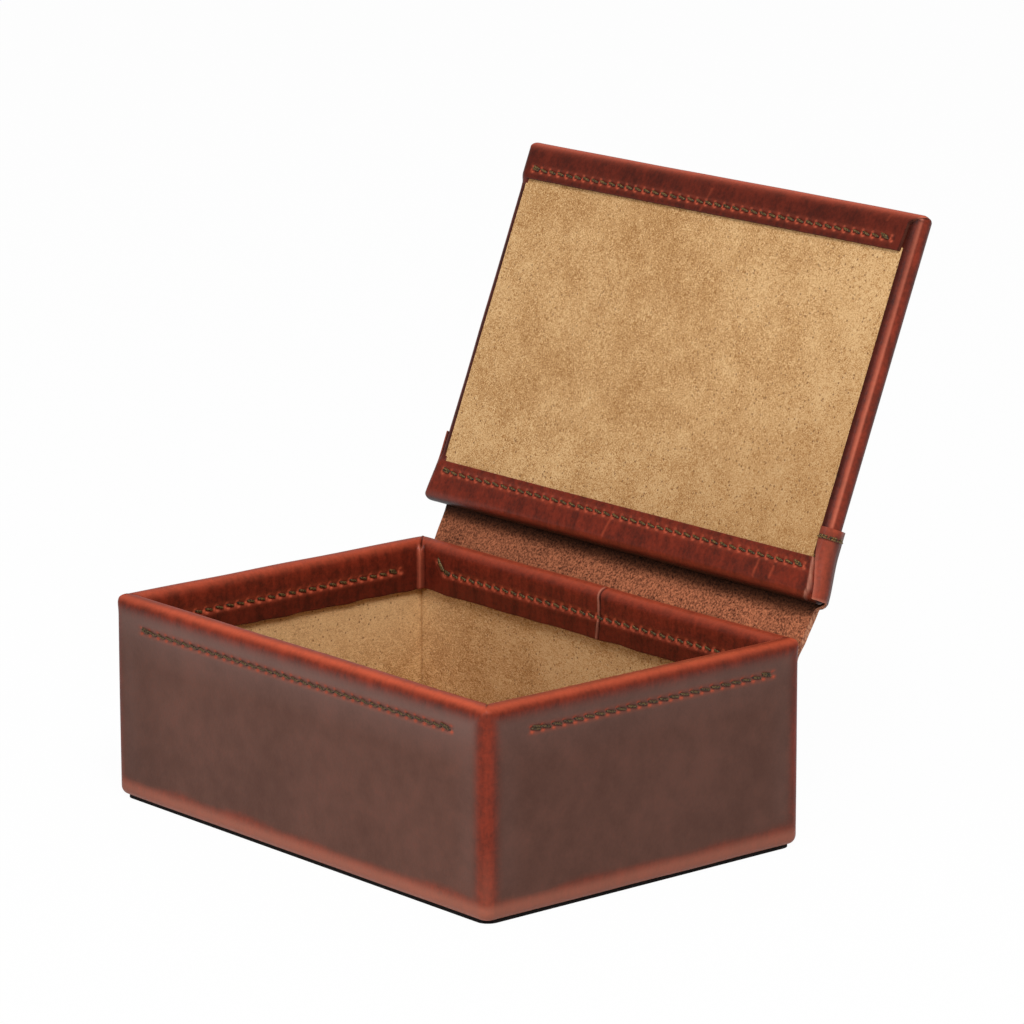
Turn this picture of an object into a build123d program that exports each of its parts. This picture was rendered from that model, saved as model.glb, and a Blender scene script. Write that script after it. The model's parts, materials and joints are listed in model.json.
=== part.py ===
"""Leather-covered organizer box with a leather-hinged lid, modelled with the lid standing open.

Millimetres. +X runs to the right along the hinge, +Y to the rear and +Z up.
The origin is the centre of the face that the box stands on.
"""

import os

from build123d import *

os.makedirs("parts", exist_ok=True)

# Overall sizes of the box
box_width = 203.0
box_depth = 142.0
rim_height = 74.0

# Sheets that the box is made from
leather = 2.2
suede = 1.0
wall_board_thickness = 2.6
base_board_thickness = 2.6
lid_board_thickness = 4.0
base_cover_thickness = 1.2

# Outer leather of the box: rounded edges, and the margins turned in at the rim and the base
corner_radius = 4.5
base_edge_radius = 3.6
rim_edge_radius = 3.8
rim_turn_in = 18.5
base_turn_in = 15.0
base_cover_inset = 2.0
infill_clearance = 0.3
rear_seam_offset = 5.0
seam_gap = 0.4

# Lid: how far it passes the box's sides and stays behind its front and rear, its edges and turned-in margins
lid_side_overhang = 1.2
lid_front_setback = 3.1
lid_rear_setback = 1.0
lid_rest_gap = 0.8
lid_corner_radius = 4.6
lid_edge_radius = 4.2
lid_front_turn_in = 14.0
lid_rear_turn_in = 15.0
lid_side_turn_in = 5.0
lid_mitre_start = 2.2

# Hinge: where the leather strip turns, how far the lid stands open, and the strip itself
hinge_behind_wall = 3.7
hinge_above_rim = 6.7
opening_angle = 111.8
hinge_tab_inset = 5.5
hinge_tab_height = 24.0
hinge_tab_corner = 5.0
hinge_leaves_wall_below_rim = 8.0
hinge_wall_run = 3.0
hinge_lid_run = 3.0
hinge_bend_radius = 7.0
sleeve_start = 4.2
sleeve_length = 22.0
sleeve_fit = 0.1
sleeve_lip_step = 0.3

# Sewing
stitch_pitch = 4.7
stitch_length = 3.5
stitch_width = 0.9
stitch_rise = 0.5
stitch_slant = 9.0
wall_row_below_rim = 10.2
wall_row_margin = 16.0
lid_row_from_fold = 3.5
lid_row_margin = 7.2
sleeve_row_from_edge = 3.0

# Heights and thicknesses that follow from the sizes above
wall = leather + wall_board_thickness + suede + leather
lid_thickness = leather + lid_board_thickness + suede + leather
lid_width = box_width + 2 * lid_side_overhang
lid_length = box_depth - lid_front_setback - lid_rear_setback
hinge_tab_width = box_width - 2 * hinge_tab_inset
wrap_bottom = base_cover_thickness
core_bottom = wrap_bottom + leather
core_top = rim_height - leather
wall_foot = core_bottom + base_board_thickness
floor_top = wall_foot + suede
rim_radius = min(rim_edge_radius, 0.48 * wall)
core_width = box_width - 2 * leather
core_depth = box_depth - 2 * leather
core_radius = corner_radius - leather
room_width = core_width - 2 * wall_board_thickness
room_depth = core_depth - 2 * wall_board_thickness
mouth_width = box_width - 2 * wall
mouth_depth = box_depth - 2 * wall


# Outer leather: one strip round the walls, turned in over the rim and under the base
with BuildPart() as outer_wrap:
    with BuildSketch(Plane.XY.offset(wrap_bottom)):
        RectangleRounded(box_width, box_depth, corner_radius)
    extrude(amount=rim_height - wrap_bottom)
    with BuildSketch(Plane.XY.offset(core_bottom)):
        RectangleRounded(core_width, core_depth, core_radius)
    extrude(amount=core_top - core_bottom, mode=Mode.SUBTRACT)
    with BuildSketch(Plane.XY.offset(core_top)):
        Rectangle(mouth_width, mouth_depth)
    extrude(amount=leather, mode=Mode.SUBTRACT)
    with BuildSketch(Plane.XY.offset(rim_height - rim_turn_in)):
        Rectangle(mouth_width + 2 * leather, mouth_depth + 2 * leather)
        Rectangle(mouth_width, mouth_depth, mode=Mode.SUBTRACT)
    extrude(amount=rim_turn_in - leather)
    fillet(outer_wrap.edges().group_by(Axis.Z)[-1], rim_radius)
    fillet(outer_wrap.edges().group_by(Axis.Z)[0], base_edge_radius)
    with BuildSketch(Plane.XY.offset(wrap_bottom)):
        Rectangle(box_width - 2 * base_turn_in, box_depth - 2 * base_turn_in)
    extrude(amount=leather, mode=Mode.SUBTRACT)
    # Mitre cuts where the turned-in rim margins meet in the corners
    with BuildSketch(Plane.XY.offset(rim_height - rim_turn_in)):
        for side_x in (-1, 1):
            for side_y in (-1, 1):
                with Locations((side_x * mouth_width / 2, side_y * mouth_depth / 2)):
                    Rectangle(2 * (wall - leather), seam_gap, rotation=45 * side_x * side_y)
    extrude(amount=rim_turn_in, mode=Mode.SUBTRACT)
    # Butt seam where the two ends of the strip meet on the rear wall
    with BuildSketch(Plane.XY.offset(wrap_bottom)):
        with Locations((rear_seam_offset, box_depth / 2)):
            Rectangle(seam_gap, 2 * max(wall, base_turn_in))
    extrude(amount=rim_height - wrap_bottom, mode=Mode.SUBTRACT)

# Sheet that the box stands on
with BuildPart() as base_cover:
    with BuildSketch():
        RectangleRounded(
            box_width - 2 * base_cover_inset, box_depth - 2 * base_cover_inset, corner_radius
        )
    extrude(amount=base_cover_thickness)

# Card that levels the base between the turned-under margins
with BuildPart() as base_infill:
    with BuildSketch(Plane.XY.offset(wrap_bottom)):
        infill_margin = 2 * (base_turn_in + infill_clearance)
        Rectangle(box_width - infill_margin, box_depth - infill_margin)
    extrude(amount=leather)

# Boards that stiffen the base and the four walls
with BuildPart() as base_board:
    with BuildSketch(Plane.XY.offset(core_bottom)):
        RectangleRounded(core_width, core_depth, core_radius)
    extrude(amount=base_board_thickness)


def long_wall_board(side):
    """Front (side -1) or rear (side 1) board, its outer corners rounded to fit in the leather."""
    with BuildPart() as board:
        with BuildSketch(Plane.XY.offset(wall_foot)):
            RectangleRounded(core_width, core_depth, core_radius)
            with Locations((0, -side * wall_board_thickness)):
                Rectangle(core_width, core_depth, mode=Mode.SUBTRACT)
        extrude(amount=core_top - wall_foot)
    return board


front_board = long_wall_board(-1)
rear_board = long_wall_board(1)


def side_wall_board(side):
    """Left (side -1) or right (side 1) board, between the front and rear boards."""
    with BuildPart() as board:
        with BuildSketch(Plane.XY.offset(wall_foot)):
            with Locations((side * (core_width - wall_board_thickness) / 2, 0)):
                Rectangle(wall_board_thickness, room_depth)
        extrude(amount=core_top - wall_foot)
    return board


left_board = side_wall_board(-1)
right_board = side_wall_board(1)

# Suede lining: the floor panel first, the wall panels standing on it
with BuildPart() as floor_lining:
    with BuildSketch(Plane.XY.offset(wall_foot)):
        Rectangle(room_width, room_depth)
    extrude(amount=suede)


def wall_lining(centre, size):
    """Upright suede panel from the floor lining to the underside of the rim leather."""
    with BuildPart() as panel:
        with BuildSketch(Plane.XY.offset(floor_top)):
            with Locations(centre):
                Rectangle(*size)
        extrude(amount=core_top - floor_top)
    return panel


lining_y = (room_depth - suede) / 2
lining_x = (room_width - suede) / 2
front_lining = wall_lining((0, -lining_y), (room_width, suede))
rear_lining = wall_lining((0, lining_y), (room_width, suede))
left_lining = wall_lining((-lining_x, 0), (suede, room_depth - 2 * suede))
right_lining = wall_lining((lining_x, 0), (suede, room_depth - 2 * suede))

# Lid frame: x along the hinge, y from the rear edge to the front edge, z from the outer face inwards
hinge_y = box_depth / 2 + hinge_behind_wall
hinge_z = rim_height + hinge_above_rim
closed_y = (lid_front_setback - lid_rear_setback) / 2
closed_z = rim_height + lid_rest_gap + lid_thickness
closed_plane = Plane((0, closed_y, closed_z), x_dir=(1, 0, 0), z_dir=(0, 0, -1))
opened = Pos(0, hinge_y, hinge_z) * Rot(X=-opening_angle) * Pos(0, -hinge_y, -hinge_z)
lid_plane = Plane(opened * closed_plane.location)
lid_core_width = lid_width - 2 * leather
lid_core_length = lid_length - 2 * leather
lid_core_radius = lid_corner_radius - leather
lid_inner_face = lid_thickness - leather

# Lid leather: rolled round all four edges, its margins turned in round the lining
with BuildPart() as lid_cover:
    with BuildSketch(lid_plane):
        RectangleRounded(lid_width, lid_length, lid_corner_radius)
    extrude(amount=lid_thickness)
    lid_edges = lid_cover.edges().filter_by(
        lambda edge: abs(edge.tangent_at(0).dot(lid_plane.z_dir)) < 0.5
    )
    fillet(lid_edges, min(lid_edge_radius, 0.48 * lid_thickness))
    with BuildSketch(lid_plane.offset(leather)):
        RectangleRounded(lid_core_width, lid_core_length, lid_core_radius)
    extrude(amount=lid_thickness - 2 * leather, mode=Mode.SUBTRACT)
    with BuildSketch(lid_plane.offset(lid_inner_face)):
        with Locations((0, (lid_rear_turn_in - lid_front_turn_in) / 2)):
            Rectangle(
                lid_width - 2 * lid_side_turn_in, lid_length - lid_rear_turn_in - lid_front_turn_in
            )
    extrude(amount=leather, mode=Mode.SUBTRACT)
    # Slanting cuts where the front and rear margins lie beside the side margins
    with BuildSketch(lid_plane.offset(lid_inner_face)):
        for side_x in (-1, 1):
            for side_y, turn_in in ((-1, lid_rear_turn_in), (1, lid_front_turn_in)):
                # The cut runs a leather's thickness past the corner of the lining's window
                run = turn_in + leather
                drift = run * (lid_side_turn_in - lid_mitre_start) / turn_in
                outer_x = lid_width / 2 - lid_mitre_start
                with BuildLine():
                    Line(
                        (side_x * outer_x, side_y * lid_length / 2),
                        (side_x * (outer_x - drift), side_y * (lid_length / 2 - run)),
                    )
                trace(line_width=seam_gap)
    extrude(amount=leather, mode=Mode.SUBTRACT)

with BuildPart() as lid_board:
    with BuildSketch(lid_plane.offset(leather)):
        RectangleRounded(lid_core_width, lid_core_length, lid_core_radius)
    extrude(amount=lid_board_thickness)

with BuildPart() as lid_lining:
    with BuildSketch(lid_plane.offset(leather + lid_board_thickness)):
        RectangleRounded(lid_core_width, lid_core_length, lid_core_radius)
    extrude(amount=suede)

# Hinge leather: a tab on the rear wall, the flap that bends, and a sleeve round the lid's rear end
tab_top = rim_height - hinge_leaves_wall_below_rim
with BuildPart() as hinge_tab:
    tab_middle = (0, box_depth / 2, tab_top - hinge_tab_height / 2)
    with BuildSketch(Plane(tab_middle, x_dir=(-1, 0, 0), z_dir=(0, 1, 0))) as tab_sketch:
        Rectangle(hinge_tab_width, hinge_tab_height)
        fillet(tab_sketch.vertices().group_by(Axis.Z)[0], hinge_tab_corner)
    extrude(amount=leather)

sleeve_foot = -lid_length / 2 + sleeve_start
flap_top = lid_plane.from_local_coords((0, sleeve_foot, -sleeve_fit))
flap_turn = lid_plane.from_local_coords((0, sleeve_foot - hinge_lid_run, -sleeve_fit))
flap_peak = flap_top.Z
with BuildPart() as hinge_flap:
    with BuildSketch(Plane.YZ):
        with BuildLine():
            FilletPolyline(
                (box_depth / 2, tab_top),
                (box_depth / 2, tab_top + hinge_wall_run),
                (flap_turn.Y, flap_turn.Z),
                (flap_top.Y, flap_top.Z),
                radius=hinge_bend_radius,
            )
            offset(amount=leather, side=Side.RIGHT)
        make_face()
    extrude(amount=lid_width / 2, both=True)
    # The flap widens evenly from the tab to the lid
    with BuildSketch(Plane.XZ):
        Polygon(
            (-hinge_tab_width / 2, tab_top),
            (hinge_tab_width / 2, tab_top),
            (lid_width / 2, flap_peak),
            (-lid_width / 2, flap_peak),
            align=None,
        )
    extrude(amount=-2 * flap_top.Y, mode=Mode.INTERSECT)

with BuildPart() as hinge_sleeve:
    sleeve_origin = lid_plane.from_local_coords((0, sleeve_foot, lid_thickness / 2))
    sleeve_plane = Plane(sleeve_origin, x_dir=lid_plane.x_dir, z_dir=lid_plane.y_dir)
    sleeve_width = lid_width + 2 * (sleeve_fit + leather)
    sleeve_height = lid_thickness + 2 * (sleeve_fit + leather)
    with BuildSketch(sleeve_plane):
        RectangleRounded(sleeve_width, sleeve_height, lid_edge_radius + sleeve_fit + leather)
        RectangleRounded(
            lid_width + 2 * sleeve_fit,
            lid_thickness + 2 * sleeve_fit,
            lid_edge_radius + sleeve_fit,
            mode=Mode.SUBTRACT,
        )
        with Locations((0, -sleeve_height / 2)):
            Rectangle(sleeve_width, 2 * (leather + sleeve_fit + sleeve_lip_step), mode=Mode.SUBTRACT)
    extrude(amount=sleeve_length)


def sewn_rows(length, *planes):
    """Rows of slanting stitches, one on each plane, in line along the plane's x direction."""
    count = max(2, round(length / stitch_pitch))
    tip = stitch_length / 2
    shoulder = tip - stitch_width
    outline = [
        (-tip, -stitch_width / 2),
        (shoulder, -stitch_width / 2),
        (tip, stitch_width / 2),
        (-shoulder, stitch_width / 2),
    ]
    with BuildPart() as rows:
        for plane in planes:
            with BuildSketch(plane):
                with GridLocations(length / count, 0, count, 1):
                    Polygon(*outline, rotation=stitch_slant)
            extrude(amount=stitch_rise)
    return rows


def wall_face_plane(x, y, normal):
    """Upright plane on a wall face at the height of the sewn row, its x direction level."""
    level = Vector(0, 0, 1).cross(Vector(*normal))
    return Plane((x, y, row_z), x_dir=level, z_dir=normal)


def lid_face_plane(along, depth, outward):
    """Plane on the lid at a distance along its length and a depth below its outer face."""
    origin = lid_plane.from_local_coords((0, along, depth))
    return Plane(origin, x_dir=lid_plane.x_dir, z_dir=lid_plane.z_dir * outward)


# Sewing through the walls: each row shows outside and on the turned-in margin inside
row_z = rim_height - wall_row_below_rim
long_row = box_width - 2 * wall_row_margin
side_row = box_depth - 2 * wall_row_margin
front_stitches = sewn_rows(
    long_row,
    wall_face_plane(0, -box_depth / 2, (0, -1, 0)),
    wall_face_plane(0, -mouth_depth / 2, (0, 1, 0)),
)
rear_stitches = sewn_rows(
    long_row,
    wall_face_plane(0, box_depth / 2 + leather, (0, 1, 0)),
    wall_face_plane(0, mouth_depth / 2, (0, -1, 0)),
)
left_stitches = sewn_rows(
    side_row,
    wall_face_plane(-box_width / 2, 0, (-1, 0, 0)),
    wall_face_plane(-mouth_width / 2, 0, (1, 0, 0)),
)
right_stitches = sewn_rows(
    side_row,
    wall_face_plane(box_width / 2, 0, (1, 0, 0)),
    wall_face_plane(mouth_width / 2, 0, (-1, 0, 0)),
)

# Sewing on the lid: through the front margin, the rear margin and the hinge sleeve
lid_row = lid_width - 2 * lid_row_margin
lid_front_row = lid_length / 2 - lid_front_turn_in + lid_row_from_fold
lid_rear_row = -lid_length / 2 + lid_rear_turn_in - lid_row_from_fold
sleeve_row = sleeve_foot + sleeve_length - sleeve_row_from_edge
lid_front_stitches = sewn_rows(
    lid_row,
    lid_face_plane(lid_front_row, lid_thickness, 1),
    lid_face_plane(lid_front_row, 0, -1),
)
lid_rear_stitches = sewn_rows(lid_row, lid_face_plane(lid_rear_row, lid_thickness, 1))
hinge_stitches = sewn_rows(lid_row, lid_face_plane(sleeve_row, -sleeve_fit - leather, -1))

pieces = {
    "outer_wrap": outer_wrap,
    "base_cover": base_cover,
    "base_infill": base_infill,
    "base_board": base_board,
    "front_board": front_board,
    "rear_board": rear_board,
    "left_board": left_board,
    "right_board": right_board,
    "floor_lining": floor_lining,
    "front_lining": front_lining,
    "rear_lining": rear_lining,
    "left_lining": left_lining,
    "right_lining": right_lining,
    "lid_cover": lid_cover,
    "lid_board": lid_board,
    "lid_lining": lid_lining,
    "hinge_tab": hinge_tab,
    "hinge_flap": hinge_flap,
    "hinge_sleeve": hinge_sleeve,
    "front_stitches": front_stitches,
    "rear_stitches": rear_stitches,
    "left_stitches": left_stitches,
    "right_stitches": right_stitches,
    "lid_front_stitches": lid_front_stitches,
    "lid_rear_stitches": lid_rear_stitches,
    "hinge_stitches": hinge_stitches,
}
for piece_name, piece in pieces.items():
    piece.part.label = piece_name
    export_step(piece.part, f"parts/{piece_name}.step")
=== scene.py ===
"""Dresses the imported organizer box: leather walls and lid, suede lining, sewing and hinge leather."""

import json
import logging
import math
from dataclasses import dataclass
from enum import Enum, IntEnum

import bmesh
import bpy
import numpy as np
from mathutils import Matrix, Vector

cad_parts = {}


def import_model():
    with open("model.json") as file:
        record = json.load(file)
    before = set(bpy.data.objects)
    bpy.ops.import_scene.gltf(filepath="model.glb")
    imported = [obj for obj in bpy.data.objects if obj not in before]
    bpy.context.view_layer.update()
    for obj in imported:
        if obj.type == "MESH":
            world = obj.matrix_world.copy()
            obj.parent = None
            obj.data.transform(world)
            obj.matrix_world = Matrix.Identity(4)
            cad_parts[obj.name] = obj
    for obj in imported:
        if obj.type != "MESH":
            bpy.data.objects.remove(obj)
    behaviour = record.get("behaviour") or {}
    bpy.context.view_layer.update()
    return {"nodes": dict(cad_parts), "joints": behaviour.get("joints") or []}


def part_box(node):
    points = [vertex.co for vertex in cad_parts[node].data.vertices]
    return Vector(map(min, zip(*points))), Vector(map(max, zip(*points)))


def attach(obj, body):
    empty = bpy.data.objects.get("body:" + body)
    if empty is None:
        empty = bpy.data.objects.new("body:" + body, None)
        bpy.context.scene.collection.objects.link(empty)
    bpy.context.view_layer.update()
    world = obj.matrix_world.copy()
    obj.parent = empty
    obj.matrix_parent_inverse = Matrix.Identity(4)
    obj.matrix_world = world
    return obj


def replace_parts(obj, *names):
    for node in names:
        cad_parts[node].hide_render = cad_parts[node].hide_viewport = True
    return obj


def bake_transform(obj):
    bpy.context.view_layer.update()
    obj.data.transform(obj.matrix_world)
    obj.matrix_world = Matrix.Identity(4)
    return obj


LOG = logging.getLogger("organizer_box")
MM = 0.001
IMAGE_PIXELS = 1024
MERGE_DISTANCE = 2e-7
SHARP_ANGLE = math.radians(48)
LEATHER = 2.2 * MM
LID_ROW_START = -95.4 * MM
LID_ROW_STITCHES = 40
X, Y, Z = np.eye(3)

Array = np.ndarray
Colour = tuple[float, float, float, float]
Scale = tuple[float, float, float]


def display(red: float, green: float, blue: float) -> Colour:
    """Turns a screen colour into the linear colour that a shader takes.

    Args:
        red: 0 to 255.
        green: 0 to 255.
        blue: 0 to 255.

    Returns:
        The linear colour, with an alpha of one.
    """
    levels = np.array([red, green, blue]) / 255.0
    linear = np.where(levels <= 0.04045, levels / 12.92, ((levels + 0.055) / 1.055) ** 2.4)
    return float(linear[0]), float(linear[1]), float(linear[2]), 1.0


def smooth(values: Array, low: float, high: float) -> Array:
    """Rises from 0 at low to 1 at high as 3t squared minus 2t cubed, and falls where high is below low."""
    t = np.clip((values - low) / (high - low), 0.0, 1.0)
    return t * t * (3.0 - 2.0 * t)


def bell(values: Array, width: float) -> Array:
    """The bell curve exp of minus the square of values over width."""
    return np.exp(-((values / width) ** 2))


def ripple(seed: int, wave: float, *places: Array) -> Array:
    """A soft uneven height from -1 to 1: the mean of six sines that run in fixed, scattered directions.

    Args:
        seed: picks the directions and phases, the same ones each run.
        wave: the usual distance from crest to crest, in metres.
        places: one array of coordinates for each dimension.

    Returns:
        The height at each place.
    """
    draw = np.random.default_rng(seed)
    total = np.zeros(np.broadcast(*places).shape)
    for _ in range(6):
        heading = draw.normal(size=len(places))
        heading *= draw.uniform(0.6, 1.5) / np.linalg.norm(heading)
        phase = draw.uniform(0.0, 2.0 * math.pi)
        reach = sum(h * p for h, p in zip(heading, places))
        total = total + np.sin(2.0 * math.pi * reach / wave + phase)
    return total / 6.0


class Value:
    """A shader socket on which sums can be written as Python expressions."""

    def __init__(self, recipe: "Recipe", socket: bpy.types.NodeSocket) -> None:
        """Keeps the recipe that the socket belongs to."""
        self.recipe = recipe
        self.socket = socket

    def __add__(self, other: "Value | float") -> "Value":
        """Adds."""
        return self.recipe.maths("ADD", self, other)

    def __sub__(self, other: "Value | float") -> "Value":
        """Subtracts."""
        return self.recipe.maths("SUBTRACT", self, other)

    def __rsub__(self, other: float) -> "Value":
        """Subtracts from a number."""
        return self.recipe.maths("SUBTRACT", other, self)

    def __mul__(self, other: "Value | float") -> "Value":
        """Multiplies."""
        return self.recipe.maths("MULTIPLY", self, other)

    __radd__ = __add__
    __rmul__ = __mul__

    def clamped(self) -> "Value":
        """Keeps the value from 0 to 1."""
        return self.recipe.node("ShaderNodeClamp", {}, {"Value": self})

    def between(self, low: float, high: float) -> "Value":
        """Rises smoothly from 0 at low to 1 at high."""
        inputs = {"Value": self, "From Min": low, "From Max": high}
        return self.recipe.node("ShaderNodeMapRange", {"interpolation_type": "SMOOTHSTEP"}, inputs)


class Recipe:
    """One material and the nodes that make it."""

    def __init__(self, name: str) -> None:
        """Starts an empty node tree with the piece's own coordinates.

        Args:
            name: the material's name.
        """
        self.material = bpy.data.materials.new(name)
        self.material.use_nodes = True
        self.tree = self.material.node_tree
        self.tree.nodes.clear()
        self.place = self.node("ShaderNodeTexCoord", {}, {}, "Object")

    def node(
        self, kind: str, settings: dict[str, object], inputs: dict[str | int, object], output: str | int = 0
    ) -> Value:
        """Adds a node.

        Args:
            kind: the node's type name.
            settings: what is set on the node itself; "stops" are a ramp's positions and colours.
            inputs: numbers, colours or values for its sockets, by name or number.
            output: the socket that is passed on.

        Returns:
            The chosen output.
        """
        made = self.tree.nodes.new(kind)
        for key, setting in settings.items():
            if key == "stops":
                self._stops(made.color_ramp, setting)
            else:
                setattr(made, key, setting)
        for key, given in inputs.items():
            if isinstance(given, Value):
                self.tree.links.new(given.socket, made.inputs[key])
            else:
                made.inputs[key].default_value = given
        return Value(self, made.outputs[output])

    @staticmethod
    def _stops(ramp: bpy.types.ColorRamp, stops: list[tuple[float, Colour]]) -> None:
        """Gives a ramp its positions and colours.

        Args:
            ramp: the ramp, which has two stops at first.
            stops: positions and colours, in order.
        """
        while len(ramp.elements) < len(stops):
            ramp.elements.new(1.0)
        for element, (position, colour) in zip(ramp.elements, stops):
            element.position = position
            element.color = colour

    def maths(self, operation: str, left: "Value | float", right: "Value | float") -> Value:
        """Adds one Math node."""
        return self.node("ShaderNodeMath", {"operation": operation}, {0: left, 1: right})

    def noise(self, scale: float, detail: float, stretch: Scale | None = None, curl: float = 0.0) -> Value:
        """Fractal noise on the piece's own coordinates.

        Args:
            scale: waves in a metre.
            detail: how many finer layers are added.
            stretch: factors that squeeze the pattern along each axis.
            curl: how far the pattern is twisted.

        Returns:
            The noise, about 0 to 1.
        """
        place = self.place
        if stretch is not None:
            place = self.node("ShaderNodeMapping", {}, {"Vector": place, "Scale": stretch})
        inputs = {"Vector": place, "Scale": scale, "Detail": detail, "Roughness": 0.55, "Distortion": curl}
        return self.node("ShaderNodeTexNoise", {"noise_dimensions": "3D"}, inputs, 0)

    def cells(self, scale: float, feature: str = "F1") -> Value:
        """Distance to the nearest of scattered points, in cells of 1 / scale metres."""
        inputs = {"Vector": self.place, "Scale": scale}
        return self.node("ShaderNodeTexVoronoi", {"feature": feature}, inputs, "Distance")

    def painted(self, name: str) -> Value:
        """The value painted on the piece's points under that name."""
        return self.node("ShaderNodeAttribute", {"attribute_name": name}, {}, "Fac")

    def mix(self, share: "Value | float", first: "Value | Colour", second: "Value | Colour") -> Value:
        """Mixes two colours."""
        return self.node("ShaderNodeMix", {"data_type": "RGBA"}, {0: share, 6: first, 7: second}, 2)

    def ramp(self, value: Value, stops: list[tuple[float, Colour]]) -> Value:
        """Turns a value into a colour."""
        return self.node("ShaderNodeValToRGB", {"stops": stops}, {0: value})

    def bump(self, height: Value, distance: float, strength: float) -> Value:
        """Turns a height into a surface slope."""
        return self.node("ShaderNodeBump", {}, {"Height": height, "Distance": distance, "Strength": strength})

    def surface(self, inputs: dict[str | int, object]) -> bpy.types.Material:
        """Ends the recipe with the main shader, with those inputs, and returns the material."""
        return self.output(self.node("ShaderNodeBsdfPrincipled", {}, inputs))

    def output(self, shader: Value) -> bpy.types.Material:
        """Joins a shader to the material's output.

        Args:
            shader: the last shader of the recipe.

        Returns:
            The finished material.
        """
        end = self.tree.nodes.new("ShaderNodeOutputMaterial")
        self.tree.links.new(shader.socket, end.inputs["Surface"])
        return self.material


@dataclass(frozen=True)
class PullUpLeather:
    """Waxed leather: dull brown flats under a waxy haze with painted sheen, red where bent, orange where worn
    and along painted highlights, dark in creases and painted shade.
    """

    dull: Colour = display(104, 70, 59)
    dull_dark: Colour = display(86, 55, 45)
    # waxy haze, also used for painted sheen
    bloom: Colour = display(130, 102, 95)
    rich: Colour = display(128, 46, 29)
    rich_dark: Colour = display(70, 25, 16)
    # worn orange, also used for painted highlights
    rubbed: Colour = display(188, 81, 53)
    # pale cut edges, also used for painted highlights and painted light from the floor
    cut: Colour = display(184, 120, 98)
    # near-black of creases and joints, also used for painted shade
    crease: Colour = display(30, 12, 9)

    def material(self) -> bpy.types.Material:
        """Builds the leather from its painted values: red on bends, worn orange and painted highlights, waxy
        haze and painted sheen, pale cut edges and painted light, creases and painted shade, and polish.

        Returns:
            The material.
        """
        r = Recipe("pull_up_leather")
        cloud = r.noise(20.0, 4.0)
        mottle = r.noise(130.0, 5.0)
        fine = r.noise(700.0, 4.0)
        marks = r.noise(60.0, 6.0, (5.0, 5.0, 1.0))
        mixed = (cloud * 0.5 + mottle * 0.4 + fine * 0.2).between(0.36, 0.78)
        flat = r.mix(mixed, self.dull_dark, self.dull)
        # waxy haze and painted sheen
        wax_and_sheen = r.painted("bloom") * (cloud * 0.5 + fine * 0.5 + 0.45)
        flat = r.mix(wax_and_sheen.clamped(), flat, self.bloom)
        mixed = (mottle * 0.35 + fine * 0.4 + marks * 0.5).between(0.38, 0.84)
        bent = r.mix(mixed, self.rich_dark, self.rich)
        uneven = (mottle - 0.5) * 0.22 + (cloud - 0.5) * 0.2 + (fine - 0.5) * 0.2
        bend = (r.painted("rich") + uneven).clamped()
        # worn orange and painted highlights
        rub_and_highlight = (r.painted("rubbed") * (mottle * 0.6 + fine * 0.6 + 0.4)).clamped()
        colour = r.mix(bend, flat, bent)
        colour = r.mix(rub_and_highlight, colour, self.rubbed)
        # pale cut edges, painted highlights and painted floor light
        colour = r.mix(r.painted("cut").clamped(), colour, self.cut)
        # creases and painted shade
        colour = r.mix(r.painted("crease").clamped(), colour, self.crease)
        height = r.cells(1250.0, "SMOOTH_F1") * 0.5 + fine * 0.6 + mottle * 0.4
        return r.surface({
            "Base Color": colour,
            "Roughness": 0.56 - bend * 0.16 + (fine - 0.5) * 0.25,
            "Normal": r.bump(height, 0.00016, 0.6),
            "Specular IOR Level": 0.12,
            "Coat Weight": r.painted("polish") * 0.8,
            "Coat Roughness": 0.24,
        })


@dataclass(frozen=True)
class FleshSide:
    """The rough inner side of the hinge leather: brown with light and dark fibres."""

    deep: Colour = display(60, 28, 19)
    fibre: Colour = display(206, 126, 88)
    shadow: Colour = display(14, 6, 4)

    def material(self) -> bpy.types.Material:
        """Builds the fibrous brown, near-black where painted shadow is laid on.

        Returns:
            The material.
        """
        r = Recipe("flesh_side")
        strands = r.noise(1200.0, 3.0)
        clouds = r.noise(70.0, 3.0)
        specks = r.noise(2100.0, 2.0)
        share = (strands * 0.8 + clouds * 0.2 + specks * 0.4 - 0.2).between(0.24, 0.76)
        colour = r.mix(share, self.deep, self.fibre)
        return r.surface({
            "Base Color": r.mix(r.painted("crease").clamped(), colour, self.shadow),
            "Roughness": 0.86,
            "Normal": r.bump(strands + specks * 0.4, 0.0003, 0.6),
            "Specular IOR Level": 0.1,
        })


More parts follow.
